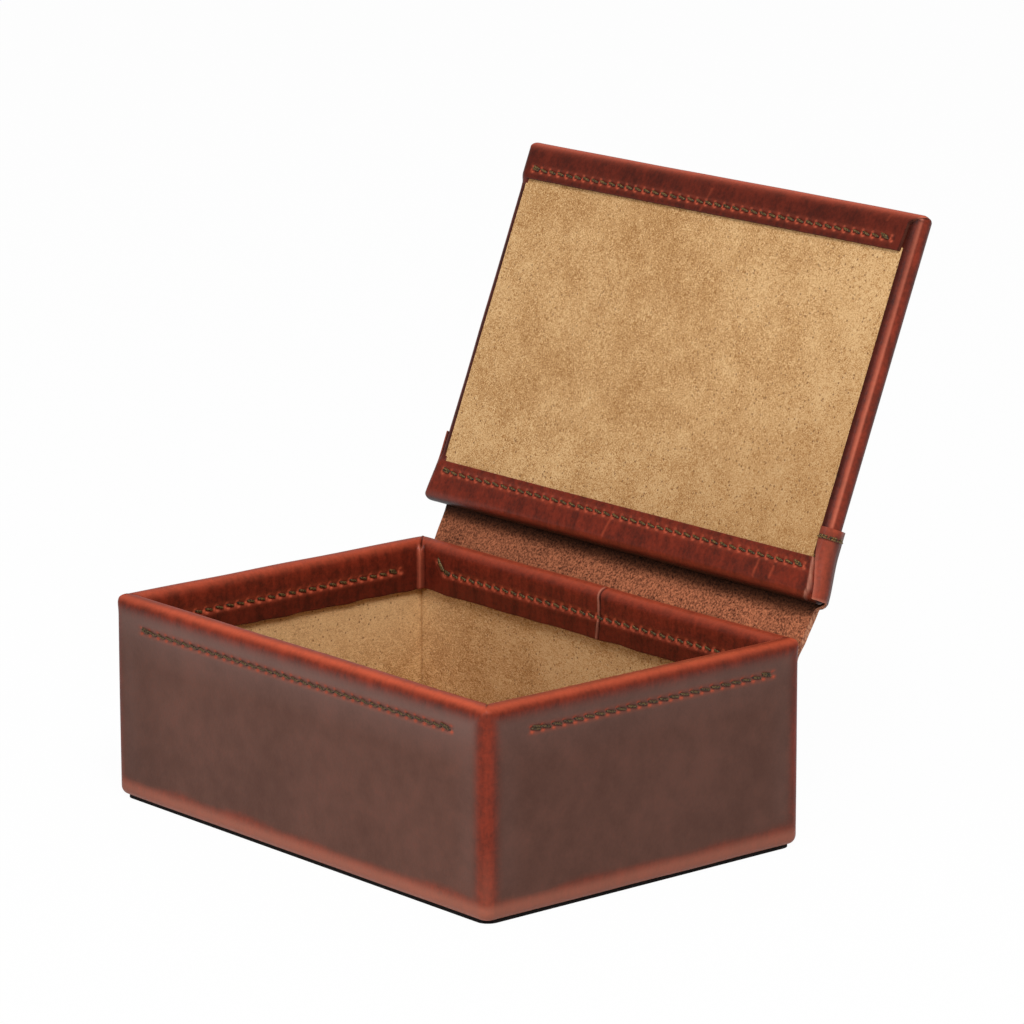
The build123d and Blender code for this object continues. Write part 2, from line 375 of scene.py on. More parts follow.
@dataclass(frozen=True)
class Suede:
    """Tan pigskin suede: cloudy, napped, with small dark pores."""

    light: Colour = display(219, 181, 131)
    tan: Colour = display(196, 151, 98)
    shade: Colour = display(150, 104, 57)
    pore: Colour = display(104, 66, 34)
    name: str = "tan_suede"
    nap_waves: float = 1050.0
    nap_depth: float = 2.0
    cloud: float = 0.40
    stroke: Scale | None = None

    def material(self) -> bpy.types.Material:
        """Builds the suede from its painted light, pale, and its painted shade, deep.

        Returns:
            The material.
        """
        r = Recipe(self.name)
        clouds = r.noise(24.0, 4.0)
        mottle = r.noise(95.0, 3.0)
        nap = r.noise(self.nap_waves, 4.0, self.stroke, 2.6)
        tone = (clouds - 0.5) * self.cloud + (mottle - 0.5) * 0.25 + (nap - 0.5) * self.nap_depth + 0.5
        colour = r.ramp(tone, [(0.28, self.shade), (0.5, self.tan), (0.70, self.light)])
        # painted light
        colour = r.mix(r.painted("pale") * 0.5, colour, self.light)
        # painted shade
        colour = r.mix(r.painted("deep") * 0.6, colour, self.shade)
        dots = r.cells(440.0)
        pores = (1.0 - dots.between(0.06, 0.25)) * (clouds.between(0.34, 0.56) * 0.7 + 0.3)
        return r.surface({
            "Base Color": r.mix(pores * 0.8, colour, self.pore),
            "Roughness": 0.92,
            "Normal": r.bump(nap * 0.6 + mottle * 0.8 - pores * 0.4, 0.0004, 0.5),
            "Specular IOR Level": 0.12,
            "Sheen Weight": 0.1,
            "Sheen Roughness": 0.5,
        })


@dataclass(frozen=True)
class WaxedThread:
    """Dark olive sewing thread."""

    dark: Colour = display(30, 20, 10)
    light: Colour = display(142, 110, 58)
    # near-black painted shade where the thread goes into its holes
    sunk: Colour = display(20, 9, 6)

    def material(self) -> bpy.types.Material:
        """Builds the thread, with painted shade where it dives into its holes and over whole rows given a
        shade.

        Returns:
            The material.
        """
        r = Recipe("waxed_thread")
        twist = r.noise(2300.0, 2.0)
        colour = r.mix(twist.between(0.36, 0.68), self.dark, self.light)
        return r.surface({
            "Base Color": r.mix(r.painted("sunk").clamped(), colour, self.sunk),
            "Roughness": 0.6,
            "Normal": r.bump(twist, 0.0002, 0.6),
            "Specular IOR Level": 0.35,
        })


@dataclass(frozen=True)
class Flecked:
    """A plain dull finish: two colours mixed by fine flecks, which also roughen it."""

    name: str
    dark: Colour
    pale: Colour
    waves: float
    mixed: tuple[float, float]
    detail: float = 4.0
    roughness: float = 0.8
    depth: float = 0.0002
    strength: float = 0.4
    specular: float = 0.5

    def material(self) -> bpy.types.Material:
        """Builds the finish.

        Returns:
            The material.
        """
        r = Recipe(self.name)
        flecks = r.noise(self.waves, self.detail)
        return r.surface({
            "Base Color": r.mix(flecks.between(*self.mixed), self.dark, self.pale),
            "Roughness": self.roughness,
            "Normal": r.bump(flecks, self.depth, self.strength),
            "Specular IOR Level": self.specular,
        })


RAW_EDGE = Flecked(
    "raw_leather_edge", display(112, 58, 42), display(190, 132, 100),
    waves=900.0, mixed=(0.3, 0.65), depth=0.0003, strength=0.5, specular=0.2,
)
FIBRE_BOARD = Flecked(
    "fibre_board", display(150, 128, 102), display(196, 176, 150),
    waves=700.0, mixed=(0.3, 0.7), roughness=0.9,
)
# near-black sheet under the box, darkened to stand in for the contact shadow as well
BASE_SHEET_AND_SHADOW = Flecked(
    "base_sheet", display(14, 10, 9), display(32, 24, 20),
    waves=800.0, mixed=(0.4, 0.75), detail=5.0, specular=0.1,
)
COARSE_SUEDE = Suede(
    name="coarse_suede", nap_waves=980.0, nap_depth=1.8, cloud=0.5, stroke=(0.62, 0.62, 1.0)
)


class Finish(Enum):
    """The material slots, as the record names them, of the pieces that are modelled here."""

    LEATHER = "leather"
    HINGE_LEATHER = "hinge_leather"
    SUEDE = "suede"
    THREAD = "thread"


class Finishes:
    """The materials, made once and shared by all pieces."""

    def __init__(self) -> None:
        """Makes them."""
        self.leather = PullUpLeather().material()
        self.flesh = FleshSide().material()
        self.edge = RAW_EDGE.material()
        self.suede = Suede().material()
        self.lining = COARSE_SUEDE.material()
        self.thread = WaxedThread().material()
        self.board = FIBRE_BOARD.material()
        self.base_sheet = BASE_SHEET_AND_SHADOW.material()


def grid_faces(rows: int, columns: int, wrap_rows: bool = False, wrap_columns: bool = False) -> Array:
    """The four-sided faces of a grid whose point number is row times columns plus column.

    Args:
        rows: rows of points.
        columns: points in a row.
        wrap_rows: whether the last row meets the first.
        wrap_columns: whether each row is a closed loop.

    Returns:
        The faces, four point numbers each.
    """
    row, column = np.meshgrid(
        np.arange(rows if wrap_rows else rows - 1),
        np.arange(columns if wrap_columns else columns - 1),
        indexing="ij",
    )
    here, there = row * columns, (row + 1) % rows * columns
    after = (column + 1) % columns
    return np.stack([here + column, here + after, there + after, there + column], axis=-1).reshape(-1, 4)


def thickened(points: Array, faces: Array, far_points: Array) -> tuple[Array, Array, Array]:
    """Closes an open sheet to a thin solid: the sheet, its far side, and a wall along every free edge.

    Args:
        points: the sheet's points.
        faces: its four-sided faces.
        far_points: the far side's points, one for each point.

    Returns:
        All points, all faces, and for each face 0 on the sheet, 1 on the far side and 2 on the edge.
    """
    used, flat = np.unique(faces, return_inverse=True)
    faces = flat.reshape(-1, 4)
    count = len(used)
    ends = np.concatenate([faces[:, [k, (k + 1) % 4]] for k in range(4)])
    _, first, uses = np.unique(np.sort(ends, axis=1), axis=0, return_index=True, return_counts=True)
    free = ends[first[uses == 1]]
    walls = np.stack([free[:, 1], free[:, 0], free[:, 0] + count, free[:, 1] + count], axis=1)
    side = np.repeat([0, 1, 2], [len(faces), len(faces), len(walls)])
    all_points = np.concatenate([points[used], far_points[used]])
    return all_points, np.concatenate([faces, faces[:, ::-1] + count, walls]), side


@dataclass
class Piece:
    """One visible piece on its way into Blender."""

    name: str
    points: Array
    faces: list[Array]
    materials: list[bpy.types.Material]
    painted: dict[str, Array]
    face_material: Array | None = None

    def build(self) -> bpy.types.Object:
        """Puts the points and faces into a mesh, merges doubles and turns the faces outwards.

        Returns:
            The piece's object, at the origin.
        """
        mesh = bpy.data.meshes.new(self.name)
        faces = [face for block in self.faces for face in block.tolist()]
        mesh.from_pydata(self.points.reshape(-1, 3).tolist(), [], faces)
        for name, values in self.painted.items():
            layer = mesh.attributes.new(name, "FLOAT", "POINT")
            layer.data.foreach_set("value", np.clip(values, 0.0, 1.0).astype(np.float32).ravel())
        for material in self.materials:
            mesh.materials.append(material)
        if self.face_material is not None:
            mesh.polygons.foreach_set("material_index", self.face_material.astype(np.int32))
        work = bmesh.new()
        work.from_mesh(mesh)
        bmesh.ops.remove_doubles(work, verts=work.verts, dist=MERGE_DISTANCE)
        bmesh.ops.recalc_face_normals(work, faces=work.faces)
        work.to_mesh(mesh)
        work.free()
        mesh.shade_smooth()
        mesh.set_sharp_from_angle(angle=SHARP_ANGLE)
        mesh.update()
        return linked(self.name, mesh)


def linked(name: str, data: bpy.types.ID) -> bpy.types.Object:
    """Makes an object and puts it in the scene.

    Args:
        name: its name.
        data: the mesh, lamp or camera that it shows.

    Returns:
        The object.
    """
    made = bpy.data.objects.new(name, data)
    bpy.context.scene.collection.objects.link(made)
    return made


def dress(node: bpy.types.Object, material: bpy.types.Material) -> bpy.types.Object:
    """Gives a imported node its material.

    Args:
        node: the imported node.
        material: the finish that it gets.

    Returns:
        The same node.
    """
    node.data.materials.clear()
    node.data.materials.append(material)
    return node


class Side(IntEnum):
    """The sides of a rounded rectangle, in the order that its columns run; each has the arc after it."""

    FRONT = 0
    RIGHT = 1
    REAR = 2
    LEFT = 3


@dataclass
class RoundedPath:
    """Columns round a rounded rectangle, anticlockwise from the low left corner.

    A column stands at a share of the straight width and depth, plus the corner radius times its
    outward direction, so one formula gives the four sides and the four corner arcs.
    """

    wide: Array
    deep: Array
    arc_steps: int

    def __post_init__(self) -> None:
        """Works out each column's shares, direction, side and place on its corner's arc."""
        turn = np.linspace(0.0, math.pi / 2, self.arc_steps + 2)[1:-1]
        ends = np.array([(0, 0), (1, 0), (1, 1), (0, 1)])
        blocks = []
        for corner in range(4):
            start = -math.pi / 2 + corner * math.pi / 2
            run = self.wide if corner % 2 == 0 else self.deep
            here, there = ends[corner], ends[(corner + 1) % 4]
            side = np.zeros((len(run), 6))
            side[:, :2] = here + (there - here) * run[:, None]
            side[:, 2:5] = math.cos(start), math.sin(start), corner
            arc = np.zeros((len(turn), 6))
            arc[:, :2] = there
            arc[:, 2] = np.cos(start + turn)
            arc[:, 3] = np.sin(start + turn)
            arc[:, 4] = corner
            arc[:, 5] = turn / (math.pi / 2)
            blocks += [side, arc]
        table = np.concatenate(blocks)
        self.share_x, self.share_y, self.out_x, self.out_y, side, self.arc = table.T
        self.side = side.astype(int)
        self.front_or_rear = (self.side == Side.FRONT) | (self.side == Side.REAR)

    def toward(self, side: Side) -> Array:
        """1 on the columns of one side, fading to 0 round the two corners beside it."""
        before = (self.side == (side - 1) % 4) * self.arc
        return np.where(self.side == side, 1.0 - self.arc, before)

    def loops(
        self, half_x: float, half_y: float, insets: tuple[Array, Array, Array], radius: Array
    ) -> tuple[Array, Array]:
        """Places the columns on nested rounded rectangles, one for each row.

        Args:
            half_x: half of the outermost width.
            half_y: half of the outermost depth.
            insets: each row's inset at both ends of x, at low y and at high y.
            radius: each row's corner radius.

        Returns:
            x and y, rows by columns.
        """
        ends, low, high, radius = (np.asarray(v)[:, None] for v in (*insets, radius))
        low_x, high_x, low_y, high_y = -half_x + ends, half_x - ends, -half_y + low, half_y - high
        x = low_x + radius + (high_x - low_x - 2 * radius) * self.share_x + radius * self.out_x
        y = low_y + radius + (high_y - low_y - 2 * radius) * self.share_y + radius * self.out_y
        return x, y


@dataclass(frozen=True)
class SewnRow:
    """A straight row of slanted stitches on a flat stretch of leather."""

    start: Array
    along: Array
    out: Array
    count: int
    pitch: float = 4.7 * MM
    slant: float = 0.42 * MM
    thread: float = 0.44 * MM
    rise: float = 0.10 * MM
    cover: float = 0.92
    pucker: float = 0.85
    shade: float = 0.0
    trough: float = 0.26 * MM
    dimple: float = 0.34 * MM
    bridge_rise: float = 0.40 * MM
    hole_depth: float = 0.50 * MM
    trough_width: float = 1.3 * MM
    dimple_width: float = 1.0 * MM
    reach: float = 1.6 * MM
    fade: float = 2.5 * MM

    @property
    def across(self) -> Array:
        """The direction in the surface, square to the row."""
        return np.cross(self.out, self.along)

    def sink(self, points: Array) -> tuple[Array, Array]:
        """How the thread draws the leather in.

        A shallow trough runs along the row as a bell curve, each hole adds a deeper bell, the leather
        swells on both sides between the holes, and it stands up where a short stitch leaves room before
        the next hole.

        Args:
            points: points of the leather, any shape with a last axis of three.

        Returns:
            The move along the outward direction, and a mark that is 1 where the leather is drawn tight.
        """
        rest = points - self.start
        run = rest @ self.along
        aside = rest @ self.across
        height = np.abs(rest @ self.out)
        length = self.count * self.pitch
        near = (height < self.reach) * smooth(run, -self.fade, 0.0) * smooth(run, length + self.fade, length)
        hole = np.clip(np.round(run / self.pitch), 0, self.count) * self.pitch
        past = run - hole
        beside = np.abs(aside)
        scallop = 0.5 + 0.5 * np.cos(2 * math.pi * past / self.pitch)
        move = -self.trough * bell(aside, self.trough_width)
        move = move - self.dimple * bell(np.hypot(past, aside), self.dimple_width)
        move = move + (0.16 - 0.12 * scallop) * MM * bell(beside - 2.1 * MM, 0.9 * MM)
        phase = np.mod(run / self.pitch, 1.0)
        bridge = smooth(phase, self.cover - 0.05, self.cover + 0.15) * smooth(phase, 1.02, 0.9)
        bridge = bridge * bell(aside + 0.3 * MM, 0.8 * MM)
        move = move + self.bridge_rise * bridge
        wide = (0.70 + 0.25 * self.pucker) * MM
        above = bell(past, 0.8 * wide) * bell(aside - 1.0 * MM, 0.48 * wide)
        below = bell(past - 0.5 * MM, 0.9 * wide) * bell(aside + 1.0 * MM, 0.52 * wide)
        band = 0.32 * (self.pucker - 0.6) * bell(beside - 1.2 * MM, 0.8 * MM)
        pull = np.maximum(self.pucker * np.maximum.reduce([0.8 * above, below, bridge]), band)
        return move * near, pull * near

    def stitches(self) -> tuple[Array, Array, Array]:
        """The thread above the leather: one bowed tube for each stitch, doubled at both ends of the row.

        A stitch runs from hole to hole with a slant; its height is 1 minus an even power of the place
        along it, so it dives steeply at both ends, and its cross-section is an ellipse that closes to a
        point.

        Returns:
            Points, faces, and for each point its painted shade: how far it has gone down into its hole, at
            least the row's shade.
        """
        rings, sides = 9, 6
        twin = np.array([0.12, self.count - 1.12])
        begin = np.concatenate([np.arange(self.count, dtype=float), twin])[:, None, None]
        doubled = np.repeat([0.0, 1.0], [self.count, len(twin)])[:, None, None]
        t = np.linspace(0.0, 1.0, rings)[None, :, None]
        turn = (np.arange(sides) * 2 * math.pi / sides)[None, None, :]
        wide = self.thread * np.sqrt(np.clip(1.0 - (2 * t - 1) ** 4, 0.0, 1.0))
        run = (begin - 0.03 + 1.06 * self.cover * t) * self.pitch
        aside = self.slant * (1 - 2 * t) + 0.7 * MM * doubled + wide * np.cos(turn)
        bow = self.rise * (1.0 - (2 * t - 1) ** 6) - self.hole_depth * (2 * t - 1) ** 8
        up = bow + 0.12 * MM * doubled + 0.75 * wide * np.sin(turn)
        run, aside, up = (v[..., None] for v in np.broadcast_arrays(run, aside, up))
        points = self.start + run * self.along + aside * self.across + up * self.out
        each = grid_faces(rings, sides, wrap_columns=True)
        faces = each[None] + (np.arange(len(begin)) * rings * sides)[:, None, None]
        sunk = np.broadcast_to(np.maximum(np.abs(2 * t - 1) ** 3, self.shade), points.shape[:3])
        return points.reshape(-1, 3), faces.reshape(-1, 4), sunk.ravel()


def sewing(name: str, rows: list[SewnRow], finishes: Finishes) -> bpy.types.Object:
    """Makes one thread piece of several rows.

    Args:
        name: the piece's name.
        rows: the rows.
        finishes: the shared materials.

    Returns:
        The thread.
    """
    points, faces, sunk = zip(*[row.stitches() for row in rows])
    offsets = np.cumsum([0] + [len(p) for p in points[:-1]])
    faces = np.concatenate([f + offset for f, offset in zip(faces, offsets)])
    painted = {"sunk": np.concatenate(sunk)}
    piece = Piece(name, np.concatenate(points), [faces], [finishes.thread], painted).build()
    return piece


@dataclass
class WallGrid:
    """The wall leather's points, rows by columns, and the marks that its finish is painted from."""

    x: Array
    y: Array
    z: Array
    depth: Array
    along_wall: Array
    outside: Array
    inside: Array
    holes: Array
    mitre: Array
    rim: Array
    slit: Array
    ridge: Array
    seam: Array
    lip: Array


@dataclass
class BoxBody:
    """The lower box: wrapped leather walls, suede inside, boards within, a dark sheet below."""

    finishes: Finishes
    thick: float = LEATHER
    wall: float = 8.0 * MM
    corner_radius: float = 4.5 * MM
    inner_radius: float = 2.3 * MM
    base_radius: float = 3.2 * MM
    base_inset: float = 2.6 * MM
    turn_in: float = 18.5 * MM
    turn_under: float = 15.0 * MM
    row_below_rim: float = 10.2 * MM
    rear_seam: float = 5.0 * MM
    wall_wave: float = 0.22 * MM
    rim_wave: float = 0.20 * MM
    cut_wave: float = 0.45 * MM
    notch_depth: float = 0.8 * MM
    corner_peak: float = 0.35 * MM
    slit_depth: float = 0.4 * MM
    ridge_rise: float = 0.9 * MM
    seam_depth: float = 0.55 * MM
    lip_rise: float = 0.25 * MM
    rim_sharper: float = 1.2 * MM
    suede_dip: float = 0.10 * MM
    hidden_rows: int = 11
    wide_columns: int = 270
    deep_columns: int = 188
    arc_columns: int = 11

    def __post_init__(self) -> None:
        """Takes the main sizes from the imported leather."""
        low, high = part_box("outer_wrap")
        self.half_x = (high.x - low.x) / 2
        self.half_y = (high.y - low.y) / 2
        self.bottom = low.z
        self.top = high.z
        seam_share = (self.half_x - self.rear_seam) / (2 * self.half_x)
        close = seam_share + np.linspace(-0.012, 0.012, 15)
        wide = np.union1d(np.linspace(0, 1, self.wide_columns), close)
        self.path = RoundedPath(wide, np.linspace(0, 1, self.deep_columns), self.arc_columns)

    def profile(self) -> tuple[Array, Array]:
        """The leather's cross-section: under the base, up outside, over the rim, down inside and back.

        Returns:
            Depth inwards from the outer face, and height, along a closed line.
        """
        z0, top, w, t, rb = self.bottom, self.top, self.wall, self.thick, self.base_radius
        row = top - self.row_below_rim
        foot = top - self.turn_in
        arc = np.linspace(0.0, math.pi / 2, 8)
        roll = np.linspace(0.0, math.pi, 21)
        half = w / 2
        shelf, ledge = top - t - 2 * MM, top - t - 0.3 * MM
        runs = [
            (np.array([self.turn_under, 6 * MM, self.base_inset + 0.1 * MM]), np.full(3, z0)),
            (self.base_inset * (1 - np.sin(arc)), z0 + rb - rb * np.cos(arc)),
            (np.zeros(7), z0 + rb + np.array([0.9, 1.8, 2.7, 3.7, 4.8, 6.2, 8.5]) * MM),
            (np.zeros(6), np.linspace(z0 + rb + 15.0 * MM, row - 4.5 * MM, 6)),
            (np.zeros(15), np.linspace(row - 3.4 * MM, row + 3.4 * MM, 15)),
            (np.zeros(3), np.linspace(row + 4.6 * MM, top - half - 0.8 * MM, 3)),
            (half - half * np.cos(roll), top - half + half * np.sin(roll) ** 0.82),
            (np.full(3, w), np.linspace(top - half - 0.8 * MM, row + 4.4 * MM, 3)),
            (np.full(15, w), np.linspace(row + 3.4 * MM, row - 3.4 * MM, 15)),
            (w - np.array([0.0, 0.05 * MM, 0.25 * MM, 0.7 * MM, t - 0.3 * MM, t + 0.1 * MM]),
             foot + np.array([0.9, 0.45, 0.15, 0.0, 0.0, 0.4]) * MM),
            (np.array([w - t - 0.1 * MM, w - t - 0.1 * MM, w - t - 1.0 * MM, t + 0.9 * MM, t, t]),
             np.array([row, shelf, ledge, ledge, shelf, row])),
            (np.array([t, t, t + 1.3 * MM, 9 * MM, self.turn_under]),
             z0 + np.array([20 * MM, t + 1.3 * MM, t, t, t])),
        ]
        return np.concatenate([d for d, _ in runs]), np.concatenate([z for _, z in runs])

    def rows(self) -> dict[str, list[SewnRow]]:
        """The sewn rows of each wall, outside and inside.

        Returns:
            Rows under the name of the stitch node that they replace.
        """
        z = self.top - self.row_below_rim
        x_out, y_out = self.half_x, self.half_y
        x_in, y_in = self.half_x - self.wall, self.half_y - self.wall
        first_x, first_y = -85.3 * MM, -51.4 * MM
        tack = np.array([-84.0 * MM, y_in, z + 4.4 * MM])
        slope = np.array([0.61, 0.0, -0.79])

        def row(x: float, y: float, along: Array, out: Array, count: int) -> SewnRow:
            """One row on the outside, at the sewing height."""
            return SewnRow(np.array([x, y, z]), along, out, count, pucker=1.0, shade=0.5)

        def inner(x: float, y: float, along: Array, out: Array, count: int) -> SewnRow:
            """One row on the turned-in margin, drawn in deeper, with shorter stitches."""
            start = np.array([x, y, z])
            return SewnRow(start, along, out, count, thread=0.50 * MM, cover=0.68, pucker=1.5, shade=0.4)

        return {
            "front_stitches": [row(first_x, -y_out, X, -Y, 36), inner(first_x + 9 * MM, -y_in, X, Y, 33)],
            "right_stitches": [row(x_out, first_y, Y, X, 23), inner(x_in, first_y + 3 * MM, Y, -X, 22)],
            "rear_stitches": [
                row(first_x, y_out + self.thick, X, Y, 36),
                inner(-80.5 * MM, y_in, X, -Y, 34),
                SewnRow(tack, slope, -Y, 1, pitch=5.6 * MM, slant=0.0),
            ],
            "left_stitches": [row(-x_out, first_y, Y, -X, 23), inner(-x_in, -55 * MM, Y, X, 23)],
        }

    def shape(self) -> WallGrid:
        """Carries the cross-section round the box.

        Each row is a rounded rectangle inset by its depth, with the corner radius less the depth. The
        thread draws the leather in, the rim rises and falls a little, the cut edge inside wanders, the
        rim's corners are notched where the margins meet, and the strip's ends meet in a seam on the
        rear wall.

        Returns:
            The leather's points and marks.
        """
        path = self.path
        depth, height = self.profile()
        sharper = self.rim_sharper * smooth(height, self.top - 7 * MM, self.top)
        radius = np.maximum(self.corner_radius - sharper - depth, self.inner_radius)
        x, y = path.loops(self.half_x, self.half_y, (depth, depth, depth), radius)
        z = np.broadcast_to(height[:, None], x.shape).copy()
        d = np.broadcast_to(depth[:, None], x.shape)
        order = np.arange(len(depth))[:, None]
        crest = int(np.argmax(height))
        outside = order <= crest
        inside = (order > crest) & (order < len(depth) - self.hidden_rows)
        points = np.stack([x, y, z], axis=-1)
        push = np.zeros(x.shape)
        holes = np.zeros(x.shape)
        for rows in self.rows().values():
            for place, row in enumerate(rows):
                move, mark = row.sink(points)
                allowed, sign = (outside, 1.0) if place == 0 else (inside, -1.0)
                push += np.where(allowed, sign * move, 0.0)
                holes = np.maximum(holes, np.where(allowed, mark, 0.0))
        on_ends = np.abs(path.out_x) > np.abs(path.out_y)
        along_wall = np.where(on_ends, self.half_y - np.abs(y), self.half_x - np.abs(x))
        push += self.wall_wave * ripple(3, 46 * MM, x, y, z) * np.where(outside, 1.0, -0.6)
        z = z + smooth(z, self.top - 30 * MM, self.top) * self.rim_wave * ripple(5, 60 * MM, x, y)
        cut = inside * smooth(z, self.top - self.turn_in + 5 * MM, self.top - self.turn_in)
        z = z + cut * self.cut_wave * ripple(8, 17 * MM, x, y)
        at_arc = path.arc > 0
        mitre = bell(path.arc - 0.5, 0.10) * at_arc
        rim = smooth(z, self.top - 4.5 * MM, self.top - 1.5 * MM)
        inward = smooth(d, 2.5 * MM, 6.0 * MM)
        z = z - self.notch_depth * mitre * rim * inward + self.corner_peak * mitre * rim * (1 - inward)
        turned = np.where(path.front_or_rear, path.arc, 1.0 - path.arc)
        on_margin = at_arc * inside * smooth(d, self.wall - 1.0 * MM, self.wall - 0.2 * MM)
        slit = bell(turned - 0.15, 0.12) * on_margin
        ridge = bell(turned - 0.62, 0.24) * on_margin
        push = push + self.slit_depth * slit - self.ridge_rise * ridge * (1 - rim)
        beside_seam = x - self.rear_seam - 0.7 * MM * np.sin((self.top - z) / (4.5 * MM))
        on_rear = (path.side == Side.REAR) & (path.arc == 0) & (outside | inside)
        seam = bell(beside_seam, 0.45 * MM) * on_rear
        lip = bell(beside_seam + 0.8 * MM, 0.38 * MM) * on_rear * inside
        push = push - self.seam_depth * seam * np.where(outside, 1.0, -1.0) * (1 - rim)
        push = push - self.lip_rise * lip * (1 - rim)
        z = z - self.slit_depth * seam * rim
        x = x + path.out_x * push
        y = y + path.out_y * push
        return WallGrid(x, y, z, d, along_wall, outside, inside, holes, mitre, rim, slit, ridge, seam, lip)

    def paint(self, g: WallGrid) -> dict[str, Array]:
        """Paints the finish: red bends, orange where they and the holes are worn, waxy haze with painted
        sheen, pale cut edges with painted floor light at the foot, creases, and painted shade and highlights.

        Args:
            g: the leather's points and marks.

        Returns:
            The painted values by name.
        """
        path, half, outside = self.path, self.wall / 2, g.outside
        rim_far = np.maximum(self.top - g.z, 0.0)
        corner_far = np.clip(g.along_wall - 1.0 * MM, 0.0, 60 * MM)
        base_far = np.maximum(g.z - self.bottom, 0.0)
        base_band = smooth(base_far * (1.0 + 0.25 * ripple(9, 48 * MM, g.x, g.y)), 8.3 * MM, 5.2 * MM)
        corner_wide = np.where((g.x < 0) & (g.y < 0), 3.0, 4.4) * MM
        roll = np.arctan2(g.z - (self.top - half), half - g.depth)
        on_roll = (g.z > self.top - half) & (outside | g.inside)
        rich_out = np.maximum.reduce([
            np.exp(-((np.maximum(rim_far - 1.5 * MM, 0.0) / (3.6 * MM)) ** 3)),
            np.exp(-((corner_far / corner_wide) ** 3)),
            0.62 * base_band,
        ])
        # painted highlight on the rim's inner shoulder, stronger towards the left wall
        inner_roll_highlight = (0.52 + 0.2 * path.toward(Side.LEFT)) * bell(roll - 2.0, 0.55)
        rubbed = np.maximum.reduce([
            on_roll * (0.95 * bell(roll - 1.0, 0.42) + inner_roll_highlight),
            0.09 * outside * bell(corner_far, 3.0 * MM),
            0.16 * outside * base_band,
            g.holes,
            0.8 * g.ridge,
        ])
        # waxy haze with painted sheen: stronger near the rim, weaker on the right wall, and a faint painted
        # highlight about 8 mm from each vertical corner
        bloom = outside * np.maximum(
            (0.42 - 0.20 * path.toward(Side.RIGHT)) * smooth(g.z, self.top - 22 * MM, self.top - 6 * MM),
            0.10 * bell(corner_far - 8 * MM, 5.0 * MM) * smooth(base_far, 6 * MM, 14 * MM),
        )
        # painted shade on the turned-in margin below the rim, stronger on the left wall
        under_rim_shade = g.inside * smooth(rim_far, 4 * MM, 10 * MM) * (1 - g.holes)
        under_rim_shade = under_rim_shade * np.where(path.side == Side.LEFT, 1.2, 1.0)
        # painted shade outside: the right wall darker, and the front darker towards its left end
        left_end_shade = smooth(g.x, -self.half_x + 45 * MM, -self.half_x + 8 * MM)
        crease = np.maximum.reduce([
            0.9 * g.seam,
            0.4 * g.slit,
            0.8 * g.mitre * smooth(g.depth, 0.8 * MM, 3.0 * MM) * g.rim,
            0.33 * under_rim_shade,
            outside * np.maximum(0.20 * path.toward(Side.RIGHT), 0.16 * path.toward(Side.FRONT) * left_end_shade),
        ])
        # pale cut edges, and a pale band at the foot, higher at the corners, that is painted light from the
        # floor
        cut = np.maximum.reduce([
            0.75 * g.lip,
            0.42 * outside * smooth(base_far, 7.5 * MM, 3.5 * MM),
            0.10 * g.holes,
            0.25 * g.ridge,
            0.14 * outside * bell(corner_far, 3.2 * MM) * smooth(base_far, 30 * MM, 8 * MM),
        ])
        return {
            "rich": np.maximum(np.where(outside, rich_out, 1.0), 0.7 * g.holes),
            "rubbed": rubbed,
            "bloom": bloom,
            "cut": cut,
            "crease": crease,
            "polish": 0.2 * on_roll * bell(roll - 1.7, 0.8),
        }

    def leather(self) -> bpy.types.Object:
        """Makes the leather of the walls.

        Returns:
            The leather.
        """
        grid = self.shape()
        faces = grid_faces(*grid.x.shape, wrap_rows=True, wrap_columns=True)
        points = np.stack([grid.x, grid.y, grid.z], axis=-1)
        piece = Piece("wall_leather", points, [faces], [self.finishes.leather], self.paint(grid)).build()
        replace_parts(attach(piece, "box"), "outer_wrap")
        return piece

    def lining(self, node: str, axis: int, facing: int) -> bpy.types.Object:
        """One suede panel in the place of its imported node.

        The shown face is a grid over the panel that dips by a soft ripple and rolls off at its border.

        Args:
            node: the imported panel.
            axis: 0, 1 or 2, the axis that the panel is thin along.
            facing: 1 or -1, the way that the shown face looks along that axis.

        Returns:
            The panel.
        """
        low, high = (np.array(corner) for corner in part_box(node))
        spans = [k for k in range(3) if k != axis]
        seam = np.array([0.0, 0.4, 0.9, 1.6]) * MM
        u, v = (
            np.concatenate([low[k] + seam, np.linspace(low[k], high[k], 61)[1:-1], high[k] - seam[::-1]])
            for k in spans
        )
        grid = np.meshgrid(u, v, indexing="ij")
        border = np.minimum.reduce([grid[0] - u[0], u[-1] - grid[0], grid[1] - v[0], v[-1] - grid[1]])
        dip = self.suede_dip * (1 + ripple(11 + axis, 33 * MM, *grid)) * smooth(border, 0.0, 6 * MM)
        shown = np.zeros(grid[0].shape + (3,))
        shown[..., spans[0]], shown[..., spans[1]] = grid
        back = shown.copy()
        face, rear = (high[axis], low[axis]) if facing > 0 else (low[axis], high[axis])
        shown[..., axis] = face - facing * dip
        back[..., axis] = rear
        points, faces, _ = thickened(shown.reshape(-1, 3), grid_faces(len(u), len(v)), back.reshape(-1, 3))
        # painted light: the left panel, and the left ends of the others, lighter towards the rim
        share = 0.9 if node == "left_lining" else 0.6 * smooth(points[:, 0], -60 * MM, -95 * MM)
        # painted shade: darker away from the left end, and along each panel's border in the corners
        corner_shade = np.tile(1.2 * bell(border, 0.7 * MM).ravel(), 2)
        painted = {
            "pale": share * smooth(points[:, 2], self.top - 60 * MM, self.top - 25 * MM),
            "deep": np.maximum(0.50 * smooth(points[:, 0], -97 * MM, -45 * MM), corner_shade),
        }
        name = node.replace("lining", "suede")
        piece = Piece(name, points, [faces], [self.finishes.lining], painted).build()
        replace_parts(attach(piece, "box"), node)
        return piece

